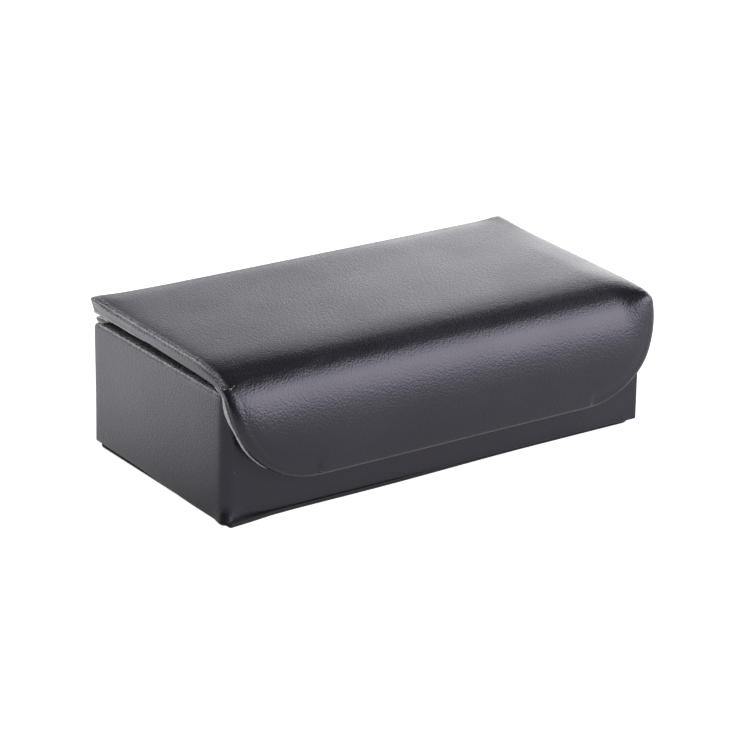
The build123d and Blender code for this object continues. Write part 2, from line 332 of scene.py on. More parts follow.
class Bench:
    """A material's node tree, with short calls to place and join nodes."""

    def __init__(self, tree: bpy.types.NodeTree) -> None:
        """Take the tree to work on."""
        self.tree = tree

    def add(self, kind: str, inputs: dict | None = None, **settings: object) -> bpy.types.Node:
        """Place a node.

        Args:
            kind: the node's type.
            inputs: values or other nodes' sockets, by the name or number of the input.
            settings: the node's own properties.

        Returns:
            The node.
        """
        placed = self.tree.nodes.new(kind)
        for key, value in settings.items():
            setattr(placed, key, value)
        for key, value in (inputs or {}).items():
            if isinstance(value, bpy.types.NodeSocket):
                self.tree.links.new(value, placed.inputs[key])
            else:
                placed.inputs[key].default_value = value
        return placed

    def maths(self, operation: str, *values: object) -> bpy.types.NodeSocket:
        """Place a Math node and give its result."""
        return self.add("ShaderNodeMath", dict(enumerate(values)), operation=operation).outputs[0]

    def blend(self, factor: object, a: object, b: object, how: str = "MIX") -> bpy.types.NodeSocket:
        """Mix two colours."""
        values = {"Factor": factor, 6: a, 7: b}
        return self.add("ShaderNodeMix", values, data_type="RGBA", blend_type=how).outputs[2]

    def band(self, value: object, low: float, high: float, to: Point = (0.0, 1.0)) -> bpy.types.NodeSocket:
        """Map a value from one range to another, and hold it there."""
        values = {0: value, 1: low, 2: high, 3: to[0], 4: to[1]}
        return self.add("ShaderNodeMapRange", values, clamp=True).outputs[0]

    def find(self, kind: str = "BSDF_PRINCIPLED") -> bpy.types.Node:
        """The tree's node of this type: its shader, unless another is named."""
        return next(node for node in self.tree.nodes if node.type == kind)

    def hold(self, values: dict[str, object], kind: str = "BSDF_PRINCIPLED") -> None:
        """Set constant inputs of the shader."""
        for key, value in values.items():
            self.find(kind).inputs[key].default_value = value

    def send(self, value: bpy.types.NodeSocket, key: str, kind: str = "BSDF_PRINCIPLED") -> None:
        """Drive one input of the shader."""
        self.tree.links.new(value, self.find(kind).inputs[key])

    def noise(self, place: object, scale: object, detail: float, **more: object) -> bpy.types.NodeSocket:
        """Place a noise texture and give its value."""
        inputs = {"Vector": place, "Scale": scale, "Detail": detail} | more
        return self.add("ShaderNodeTexNoise", inputs).outputs[0]

    def facing(self, way: object, direction: Place) -> bpy.types.NodeSocket:
        """How well a ray's way agrees with a direction, from -1 to 1."""
        return self.add("ShaderNodeVectorMath", {0: way, 1: direction}, operation="DOT_PRODUCT").outputs["Value"]

    def noted(self, name: str, output: str = "Fac") -> bpy.types.NodeSocket:
        """What is stored at the piece's points under this name."""
        return self.add("ShaderNodeAttribute", attribute_name=name).outputs[output]

    def rest(self) -> bpy.types.NodeSocket:
        """Where the point lay on the sheet at rest."""
        return self.noted(REST_PLACE, "Vector")

    def here(self) -> bpy.types.NodeSocket:
        """The point's place in the piece's own coordinates."""
        return self.add("ShaderNodeTexCoord").outputs["Object"]

    def group(self, tree: bpy.types.NodeTree, **values: object) -> bpy.types.Node:
        """Place a shared node group with its own values."""
        placed = self.add("ShaderNodeGroup", node_tree=tree)
        for key, value in values.items():
            socket = placed.inputs[key]
            if isinstance(value, bpy.types.NodeSocket):
                self.tree.links.new(value, socket)
            else:
                socket.default_value = value
        return placed


def shared_effect(name: str, takes: dict[str, str], gives: dict[str, str]) -> tuple[Bench, dict, Callable]:
    """Begin a node group that several finishes use.

    Args:
        name: the group's name.
        takes: its inputs, each with its socket's short type.
        gives: its outputs, likewise.

    Returns:
        The bench to work on, its inputs by name, and a call that sets an output.
    """
    tree = bpy.data.node_groups.new(name, "ShaderNodeTree")
    for key, kind in takes.items():
        tree.interface.new_socket(key, in_out="INPUT", socket_type=f"NodeSocket{kind}")
    for key, kind in gives.items():
        tree.interface.new_socket(key, in_out="OUTPUT", socket_type=f"NodeSocket{kind}")
    bench = Bench(tree)
    entry, result = bench.add("NodeGroupInput"), bench.add("NodeGroupOutput")

    def give(key: str, value: bpy.types.NodeSocket) -> None:
        """Send a value out of the group."""
        tree.links.new(value, result.inputs[key])

    return bench, {key: entry.outputs[key] for key in takes}, give


class Effects:
    """The node groups that the finishes share, each made once."""

    def __init__(self) -> None:
        """Make every group."""
        self.grain = self._grain()
        self.specks = self._specks()
        self.weave = self._weave()
        self.fibres = self._fibres()

    @staticmethod
    def _grain() -> bpy.types.NodeTree:
        """Pebble grain: small rounded cells with fine valleys, over a slow unevenness."""
        takes = {"Place": "Vector", "Cells": "Float", "Unevenness": "Float"}
        bench, given, give = shared_effect("pebble_grain", takes, {"Height": "Float", "Mottle": "Float"})
        place = given["Place"]
        wobble = bench.add("ShaderNodeTexNoise", {"Vector": place, "Scale": 900.0, "Detail": 2.0}).outputs["Color"]
        shift = bench.add("ShaderNodeVectorMath", {0: wobble, 1: (0.0003,) * 3}, operation="MULTIPLY").outputs[0]
        bent = bench.add("ShaderNodeVectorMath", {0: place, 1: shift}, operation="ADD").outputs[0]
        inputs = {"Vector": bent, "Scale": given["Cells"], "Smoothness": 0.6}
        cells = bench.add("ShaderNodeTexVoronoi", inputs, feature="SMOOTH_F1").outputs["Distance"]
        pebble = bench.band(cells, 0.05, 0.75, (1.0, 0.0))
        height = bench.maths("MULTIPLY_ADD", bench.noise(place, 5200.0, 3.0), 0.35, pebble)
        slow = bench.maths("MULTIPLY", bench.noise(place, 260.0, 4.0), given["Unevenness"])
        give("Height", bench.maths("ADD", height, slow))
        give("Mottle", bench.band(bench.noise(place, 70.0, 5.0), 0.3, 0.7))
        return bench.tree

    @staticmethod
    def _specks() -> bpy.types.NodeTree:
        """Sparse pale dust specks."""
        bench, given, give = shared_effect("dust_specks", {"Place": "Vector", "Spacing": "Float"}, {"Mask": "Float"})
        inputs = {"Vector": given["Place"], "Scale": given["Spacing"], "Randomness": 1.0}
        seeds = bench.add("ShaderNodeTexVoronoi", inputs).outputs
        draw = bench.add("ShaderNodeSeparateColor", {0: seeds["Color"]}).outputs[0]
        dot = bench.band(seeds["Distance"], 0.010, 0.024, (1.0, 0.0))
        give("Mask", bench.maths("MULTIPLY", bench.maths("GREATER_THAN", draw, 0.8), dot))
        return bench.tree

    @staticmethod
    def _weave() -> bpy.types.NodeTree:
        """A plain weave of two sets of threads, with their slubs."""
        takes = {"Place": "Vector", "Threads": "Float"}
        bench, given, give = shared_effect("plain_weave", takes, {"Height": "Float", "Slub": "Float"})
        inputs = {"Vector": given["Place"], "Rotation": (0.35, 0.2, 0.785)}
        turned = bench.add("ShaderNodeMapping", inputs).outputs[0]
        parts = bench.add("ShaderNodeSeparateXYZ", {0: turned})
        threads = []
        for axis in (0, 1):
            wave = bench.maths("SINE", bench.maths("MULTIPLY", parts.outputs[axis], given["Threads"]))
            threads.append(bench.band(wave, -1.0, 1.0))
        slub = bench.noise(given["Place"], 1500.0, 3.0)
        give("Height", bench.maths("MULTIPLY_ADD", slub, 0.6, bench.maths("MAXIMUM", *threads)))
        give("Slub", slub)
        return bench.tree

    @staticmethod
    def _fibres() -> bpy.types.NodeTree:
        """Paper and board fibres: short flecks in all directions."""
        takes = {"Place": "Vector", "Fleck": "Float"}
        bench, given, give = shared_effect("board_fibres", takes, {"Height": "Float", "Fleck": "Float"})
        base = bench.noise(given["Place"], given["Fleck"], 6.0, Roughness=0.7)
        drawn = bench.add("ShaderNodeMapping", {"Vector": given["Place"], "Scale": (1.0, 5.0, 5.0)}).outputs[0]
        streak = bench.noise(drawn, given["Fleck"], 3.0, Distortion=1.5)
        give("Height", bench.maths("ADD", base, bench.maths("MULTIPLY", streak, 0.5)))
        give("Fleck", bench.band(streak, 0.35, 0.65))
        return bench.tree


EFFECTS = Effects()


def paint(piece: bpy.types.Object, material: bpy.types.Material) -> None:
    """Give a piece this one material."""
    piece.data.materials.clear()
    piece.data.materials.append(material)


@dataclass(frozen=True)
class Finish:
    """What the finishes share: a name, a colour and how rough the surface is."""

    name: str
    tone: Tone
    roughness: float
    relief: float = 0.00005
    specular: float = 0.5
    sheen: float = 0.0

    def shade(self, gain: float = 1.0) -> tuple[float, float, float, float]:
        """The finish's colour with full alpha, made darker or paler by a gain."""
        return (*(min(1.0, c * gain) for c in self.tone.value), 1.0)

    def material(self) -> bpy.types.Material:
        """Make the material: its constant values, then the finish's own pattern."""
        material = bpy.data.materials.new(self.name)
        material.use_nodes = True
        material.diffuse_color = self.shade()
        bench = Bench(material.node_tree)
        bench.hold({"Base Color": self.shade(), "Roughness": self.roughness, "Specular IOR Level": self.specular})
        if self.sheen:
            bench.hold({"Sheen Weight": self.sheen, "Sheen Roughness": SHEEN_ROUGHNESS})
        self.pattern(bench)
        return material

    def pattern(self, bench: Bench) -> None:
        """Add the finish's own colours and bumps."""
        raise NotImplementedError

    def relieve(self, bench: Bench, height: bpy.types.NodeSocket) -> None:
        """Turn a height into bumps of this finish's real depth."""
        bump = bench.add("ShaderNodeBump", {"Height": height, "Distance": self.relief, "Strength": 1.0})
        bench.send(bump.outputs[0], "Normal")

    def vary(self, bench: Bench, mask: bpy.types.NodeSocket, spread: float) -> None:
        """Let the colour wander by a share about its middle, as the mask says."""
        bench.send(bench.blend(mask, self.shade(1 - spread), self.shade(1 + spread)), "Base Color")

    def roughen(self, bench: Bench, mask: bpy.types.NodeSocket, spread: float) -> None:
        """Let the roughness wander about its middle, as the mask says."""
        low, high = self.roughness - spread, self.roughness + spread
        bench.send(bench.band(mask, 0.0, 1.0, (low, high)), "Roughness")


@dataclass(frozen=True)
class Leatherette(Finish):
    """Black coated cloth with a fine pebble grain, with pale highlights painted along its rims and along its flap's
    lower edge.
    """

    cells: float = 2800.0
    unevenness: float = 0.25
    refraction: float = 1.6
    gloss_tint: Place = (0.90, 0.86, 1.0)
    # How much of the painted rim highlight and of the painted highlight along the flap's lower edge shows.
    painted_rim_highlight_share: float = 0.6
    painted_low_highlight: float = 0.14
    dust: float = 0.4

    def pattern(self, bench: Bench) -> None:
        """Grain the cloth, paint pale highlights along its rims and its lower edge, and leave some dust on it."""
        bench.hold({"IOR": self.refraction, "Specular Tint": (*self.gloss_tint, 1.0)})
        place = bench.rest()
        grain = bench.group(EFFECTS.grain, Place=place, Cells=self.cells, Unevenness=self.unevenness).outputs
        specks = bench.group(EFFECTS.specks, Place=place, Spacing=260.0).outputs["Mask"]
        # Flecks that break the painted rim highlight into a speckled band.
        flecks = bench.band(bench.noise(place, 2600.0, 4.0), 0.35, 0.56)
        base = bench.blend(grain["Mottle"], self.shade(0.82), self.shade(1.2))
        # Mix in the painted rim highlight, the painted highlight along the flap's lower edge, and the dust specks.
        for mask, share, tone in (
            (bench.maths("MULTIPLY", bench.noted(PAINTED_RIM_HIGHLIGHT), flecks), self.painted_rim_highlight_share, Tone.WORN),
            (bench.noted(PAINTED_LOW_HIGHLIGHT), self.painted_low_highlight, Tone.WORN),
            (specks, self.dust, Tone.DUST),
        ):
            base = bench.blend(bench.maths("MULTIPLY", mask, share), base, tone.solid)
        bench.send(base, "Base Color")
        self.roughen(bench, grain["Mottle"], 0.03)
        self.relieve(bench, grain["Height"])


@dataclass(frozen=True)
class Woven(Finish):
    """Cloth with a visible weave, such as tape, satin and lining."""

    threads: float = 9000.0
    spread: float = 0.06

    def pattern(self, bench: Bench) -> None:
        """Weave the cloth."""
        weave = bench.group(EFFECTS.weave, Place=bench.rest(), Threads=self.threads).outputs
        self.vary(bench, weave["Slub"], self.spread)
        self.relieve(bench, weave["Height"])


@dataclass(frozen=True)
class Pile(Finish):
    """Velvet or flock: short upright fibres with a soft sheen and brushed patches."""

    pile: float = 3800.0
    spread: float = 0.12

    def pattern(self, bench: Bench) -> None:
        """Raise the nap and brush it in patches."""
        place = bench.rest()
        brushed = bench.noise(place, 120.0, 3.0, Distortion=0.8)
        self.vary(bench, bench.band(brushed, 0.35, 0.65), self.spread)
        self.relieve(bench, bench.maths("MULTIPLY_ADD", brushed, 2.0, bench.noise(place, self.pile, 2.0)))


@dataclass(frozen=True)
class Fibrous(Finish):
    """Card, board or paper, with flecks and a faint tooth."""

    fleck: float = 900.0
    spread: float = 0.12

    def pattern(self, bench: Bench) -> None:
        """Scatter the fibres."""
        fibres = bench.group(EFFECTS.fibres, Place=bench.here(), Fleck=self.fleck).outputs
        self.vary(bench, fibres["Fleck"], self.spread)
        self.relieve(bench, fibres["Height"])


@dataclass(frozen=True)
class Cellular(Finish):
    """Open foam, with its small round cells."""

    cells: float = 2600.0

    def pattern(self, bench: Bench) -> None:
        """Open the cells."""
        cells = bench.add("ShaderNodeTexVoronoi", {"Vector": bench.rest(), "Scale": self.cells}).outputs["Distance"]
        self.vary(bench, cells, 0.15)
        self.relieve(bench, bench.band(cells, 0.0, 0.6))


@dataclass(frozen=True)
class Plated(Finish):
    """Plated metal with fine turning marks."""

    def pattern(self, bench: Bench) -> None:
        """Turn the marks into the metal."""
        bench.hold({"Metallic": 1.0})
        marks = bench.noise(bench.here(), 1800.0, 3.0)
        self.vary(bench, marks, 0.1)
        self.roughen(bench, marks, 0.08)
        self.relieve(bench, marks)


class Wardrobe:
    """Every finish of the box, made into a material when it is first asked for."""

    FINISHES = {
        "leatherette": Leatherette("black_leatherette", Tone.LEATHER, 0.34, relief=0.00003),
        "base_paper": Fibrous("black_base_card", Tone.BLACK_CARD, 0.6, relief=0.00003),
        "greyboard": Fibrous("raw_greyboard", Tone.GREYBOARD, 0.9),
        "paper": Fibrous("gummed_kraft", Tone.KRAFT, 0.8, relief=0.00002, fleck=1400.0),
        "card": Fibrous("white_lined_card", Tone.CARD, 0.8, relief=0.00002),
        "steel": Plated("zinc_plated_steel", Tone.STEEL, 0.38, relief=0.000004),
        "magnet": Plated("nickel_plated_magnet", Tone.NICKEL, 0.22, relief=0.000002),
        "white_tape": Woven("white_woven_tape", Tone.TAPE, 0.85, relief=0.00005, threads=8000.0),
        "wall_cloth": Pile("wall_flock", Tone.FLOCK, 0.95, relief=0.00004, sheen=0.3),
        "velvet": Pile("pad_velvet", Tone.VELVET, 0.95, relief=0.00008, sheen=0.6),
        "satin": Woven("lid_satin", Tone.SATIN, 0.36, relief=0.000012, threads=26000.0, specular=0.6),
        "white_lining": Woven("raw_edged_lining", Tone.LINING, 0.9, relief=0.00005, threads=11000.0),
        "foam": Cellular("white_foam", Tone.FOAM, 0.95, relief=0.0001),
    }

    def __init__(self) -> None:
        """Start with nothing made."""
        self.made: dict[str, bpy.types.Material] = {}

    def take(self, slot: str) -> bpy.types.Material:
        """Give the material for a slot of the record, and make it if it is new."""
        if slot not in self.made:
            self.made[slot] = self.FINISHES[slot].material()
        return self.made[slot]

    def dress(self, piece: bpy.types.Object, slot: str) -> None:
        """Dress a new piece in the material of a slot."""
        paint(piece, self.take(slot))


@dataclass
class Studio:
    """The camera, floor, backdrop and lamps.

    Directions are azimuths from the front of the box towards its right end, and elevations, in degrees.
    """

    lens: float = 144.0
    sensor: float = 36.0
    clip: Point = (0.01, 20.0)
    azimuth: float = math.radians(-34.47)
    elevation: float = math.radians(20.91)
    roll: float = math.radians(0.78)
    distance: float = 550.9 * MM
    aim: Place = (0.0, 2.6 * MM, 13.0 * MM)
    slide: Point = (0.98 * MM, -1.57 * MM)
    floor_size: float = 6.0
    floor_glow: Point = (0.25, 1.3)
    floor_seen: float = 0.8
    sky_tint: Place = (0.985, 0.97, 1.03)
    sky_seen: float = 1.06
    backdrop_way: Place = (0.574, 0.819, 0.0)
    backdrop_glow: float = 1.58
    dark_glow: float = 0.09
    panel_way: Place = (0.578, -0.620, 0.530)
    panel_glow: float = 2.25
    fill: float = 0.3
    lamps: tuple[tuple[str, Point, float, Point, float], ...] = (
        ("front_softbox", (43.0, 32.0), 0.7, (0.84, 0.74), 2.3),
        ("back_panel", (125.0, 11.0), 0.9, (0.7, 0.34), 1.85),
        ("rim_lamp", (-155.0, 32.0), 0.7, (0.25, 0.12), 9.0),
    )

    def build(self) -> None:
        """Set up everything that isn't part of the box."""
        self.camera()
        self.floor()
        self.world()
        for lamp in self.lamps:
            self.lamp(*lamp)

    def camera(self) -> None:
        """Place the camera at the photograph's viewing angle."""
        a, e, r = self.azimuth, self.elevation, self.roll
        back = Vector((math.sin(a) * math.cos(e), -math.cos(a) * math.cos(e), math.sin(e)))
        right = Vector((math.cos(a), math.sin(a), 0.0))
        up = back.cross(right)
        across = math.cos(r) * right + math.sin(r) * up
        upright = math.cos(r) * up - math.sin(r) * right
        data = bpy.data.cameras.new("studio_camera")
        data.lens, data.sensor_width = self.lens, self.sensor
        data.clip_start, data.clip_end = self.clip
        camera = bpy.data.objects.new("studio_camera", data)
        bpy.context.scene.collection.objects.link(camera)
        turn = Matrix((across, upright, back)).transposed().to_4x4()
        place = Vector(self.aim) + back * self.distance + right * self.slide[0] + up * self.slide[1]
        camera.matrix_world = Matrix.Translation(place) @ turn
        bpy.context.scene.camera = camera

    @staticmethod
    def rays(bench: Bench) -> tuple[bpy.types.NodeSocket, bpy.types.NodeSocket]:
        """Tell the rays apart.

        Returns:
            1 for the camera's own rays, and 1 for rays that show the background in gloss or glass.
        """
        path = bench.add("ShaderNodeLightPath").outputs
        return path["Is Camera Ray"], bench.maths("MAXIMUM", path["Is Glossy Ray"], path["Is Transmission Ray"])

    def floor(self) -> None:
        """Lay a plain pale floor that shows white and keeps a faint shadow."""
        deselect()
        bpy.ops.mesh.primitive_plane_add(size=self.floor_size, location=(0, 0, 0))
        floor = begin("studio_floor")
        material = bpy.data.materials.new("pale_floor")
        material.use_nodes = True
        material.cycles.emission_sampling = "NONE"
        bench = Bench(material.node_tree)
        bench.hold({"Base Color": Tone.FLOOR.solid, "Roughness": 0.9, "Specular IOR Level": 0.1})
        bench.hold({"Emission Color": Tone.WHITE.solid})
        seen, mirrored = self.rays(bench)
        depth = bench.add("ShaderNodeSeparateXYZ", {0: bench.here()}).outputs[1]
        glow = bench.maths("MULTIPLY", mirrored, bench.band(depth, -10 * MM, 52 * MM, self.floor_glow))
        bench.send(bench.maths("MULTIPLY_ADD", seen, self.floor_seen, glow), "Emission Strength")
        paint(floor, material)

    def world(self) -> None:
        """Surround the scene with a dark room, which gloss shows with a white backdrop and a panel in it."""
        world = bpy.data.worlds.new("studio_world")
        world.use_nodes = True
        world.cycles.sampling_method = "NONE"
        bpy.context.scene.world = world
        bench = Bench(world.node_tree)
        bench.hold({"Color": (*self.sky_tint, 1.0)}, "BACKGROUND")
        seen, mirrored = self.rays(bench)
        way = bench.add("ShaderNodeTexCoord").outputs["Generated"]
        height = bench.add("ShaderNodeSeparateXYZ", {0: way}).outputs[2]
        low = bench.band(height, 0.36, 0.50, (1.0, 0.0))
        behind = bench.band(bench.facing(way, self.backdrop_way), 0.0, 0.6)
        sheet = bench.band(bench.maths("MULTIPLY", low, behind), 0.0, 1.0, (self.dark_glow, self.backdrop_glow))
        panel = bench.band(bench.facing(way, self.panel_way), 0.82, 0.92, (-self.fill, self.panel_glow - self.fill))
        shown = bench.maths("MULTIPLY", mirrored, bench.maths("ADD", sheet, panel))
        strength = bench.maths("ADD", shown, self.fill)
        strength = bench.maths("MAXIMUM", strength, bench.maths("MULTIPLY", seen, self.sky_seen))
        bench.send(strength, "Strength", "BACKGROUND")

    def lamp(self, name: str, way: Point, distance: float, size: Point, glow: float) -> None:
        """Hang one soft lamp that faces the box.

        Args:
            name: the lamp's name.
            way: the azimuth and elevation at which it hangs.
            distance: how far from the box it hangs.
            size: its width and height.
            glow: how bright its face is, where 1 is white.
        """
        turn, rise = math.radians(way[0]), math.radians(way[1])
        aim = Vector(self.aim)
        out = Vector((math.sin(turn) * math.cos(rise), -math.cos(turn) * math.cos(rise), math.sin(rise)))
        data = bpy.data.lights.new(name, "AREA")
        data.shape = "RECTANGLE"
        data.size, data.size_y = size
        data.energy = math.pi * size[0] * size[1] * glow
        lamp = bpy.data.objects.new(name, data)
        bpy.context.scene.collection.objects.link(lamp)
        lamp.location = aim + out * distance
        lamp.rotation_euler = out.to_track_quat("Z", "Y").to_euler()
        lamp.visible_camera = False

Knot = tuple[float, float, float, float]


@dataclass
class Profile:
    """The line that the lid's and flap's cover follows, from the hinge over the top to the flap's tip.

    Each knot holds the outer surface and the cover's turned edge behind it, in millimetres. The line changes
    from the left end over the middle to the right end.
    """

    middle: tuple[Knot, ...] = (
        (24.9, 28.35, 24.9, 25.75),
        (14.0, 28.25, 14.0, 25.7),
        (2.0, 28.2, 2.0, 25.7),
        (-8.0, 28.08, -8.0, 25.7),
        (-12.5, 27.92, -12.3, 25.7),
        (-15.7, 27.6, -15.2, 25.7),
        (-17.6, 27.2, -16.8, 25.6),
        (-19.2, 26.6, -18.1, 25.2),
        (-21.0, 25.6, -19.6, 24.4),
        (-22.6, 24.1, -20.8, 23.2),
        (-23.6, 22.3, -21.5, 21.8),
        (-24.35, 19.9, -22.05, 19.6),
        (-24.8, 17.0, -22.4, 17.1),
        (-24.9, 14.0, -22.5, 13.9),
        (-24.8, 10.7, -22.35, 10.7),
        (-24.45, 7.1, -21.95, 7.3),
    )
    left: tuple[Knot, ...] = (
        (24.9, 28.55, 24.9, 25.9),
        (14.0, 28.25, 14.0, 25.75),
        (2.0, 28.1, 2.0, 25.7),
        (-8.0, 27.97, -8.0, 25.55),
        (-12.5, 27.8, -12.3, 25.45),
        (-15.7, 27.35, -15.2, 25.3),
        (-17.8, 26.75, -17.0, 25.15),
        (-20.0, 25.95, -18.7, 24.8),
        (-21.5, 24.95, -19.9, 24.1),
        (-22.7, 23.7, -20.85, 23.0),
        (-23.6, 22.0, -21.5, 21.6),
        (-24.3, 19.8, -22.05, 19.5),
        (-24.75, 17.0, -22.4, 17.1),
        (-24.85, 14.0, -22.5, 13.9),
        (-24.75, 10.7, -22.35, 10.7),
        (-24.4, 7.1, -21.95, 7.3),
    )
    right: tuple[Knot, ...] = (
        (24.9, 28.35, 24.9, 25.75),
        (14.0, 28.15, 14.0, 25.7),
        (2.0, 27.9, 2.0, 25.65),
        (-8.0, 27.62, -8.0, 25.6),
        (-12.5, 27.52, -12.3, 25.55),
        (-15.7, 27.42, -15.2, 25.5),
        (-17.8, 27.3, -17.0, 25.4),
        (-20.3, 27.1, -18.9, 25.15),
        (-22.0, 26.95, -20.3, 24.7),
        (-23.4, 26.2, -21.1, 23.8),
        (-23.9, 24.3, -21.6, 22.2),
        (-24.25, 21.2, -21.95, 19.9),
        (-24.55, 17.6, -22.3, 17.3),
        (-24.8, 14.0, -22.5, 13.9),
        (-24.75, 10.7, -22.35, 10.7),
        (-24.4, 7.1, -21.95, 7.3),
    )
    half_length: float = 45.4 * MM
    per_span: int = 24
    crease_knot: int = 7

    def __post_init__(self) -> None:
        """Draw the lines and measure the way along the middle one."""
        self.lines = {}
        for name, knots in (("middle", self.middle), ("left", self.left), ("right", self.right)):
            outer = through([Vector((0.0, y, z)) * MM for y, z, _, _ in knots], self.per_span)
            inner = through([Vector((0.0, y, z)) * MM for _, _, y, z in knots], self.per_span)
            self.lines[name] = (outer, inner)
        self.way = [0.0]
        spine = self.lines["middle"][0]
        for a, b in zip(spine, spine[1:]):
            self.way.append(self.way[-1] + (b - a).length)
        self.crease_way = self.way[self.crease_knot * self.per_span]

    @property
    def length(self) -> float:
        """The whole way along the cover, from hinge to tip."""
        return self.way[-1]

    def _at(self, which: int, along: float, x: float) -> Vector:
        """The point of the outer or inner line at this way along, for this place along the box's length."""
        along = min(max(along, 0.0), self.length)
        low, high = 0, len(self.way) - 1
        while high - low > 1:
            half = (low + high) // 2
            if self.way[half] <= along:
                low = half
            else:
                high = half
        share = (along - self.way[low]) / (self.way[high] - self.way[low])
        middle, left, right = (
            self.lines[name][which][low].lerp(self.lines[name][which][high], share)
            for name in ("middle", "left", "right")
        )
        if x < 0:
            return middle.lerp(left, smooth((-x / self.half_length - 0.6) / 0.36))
        return middle.lerp(right, smooth((x / self.half_length - 0.84) / 0.16))

    def along_at(self, y: float) -> float:
        """The way along the cover at which its top reaches this depth, in the middle of its length."""
        spine = self.lines["middle"][0]
        return self.way[next(i for i, point in enumerate(spine) if point.y <= y)]

    def outer(self, along: float, x: float = 0.0) -> Vector:
        """The outer surface, before its crease."""
        return self._at(0, along, x)

    def inner(self, along: float, x: float = 0.0) -> Vector:
        """The turned edge behind it."""
        return self._at(1, along, x)

    def tangent(self, along: float, x: float = 0.0) -> Vector:
        """The direction along the outer surface."""
        step = 0.4 * MM
        return (self.outer(along + step, x) - self.outer(along - step, x)).normalized()

    def outward(self, along: float, x: float = 0.0) -> Vector:
        """The direction straight out of the surface."""
        tangent = self.tangent(along, x)
        return Vector((0.0, tangent.z, -tangent.y))

    def inward(self, along: float, x: float = 0.0) -> Vector:
        """The direction from the outer surface to the turned edge."""
        return (self.inner(along, x) - self.outer(along, x)).normalized()


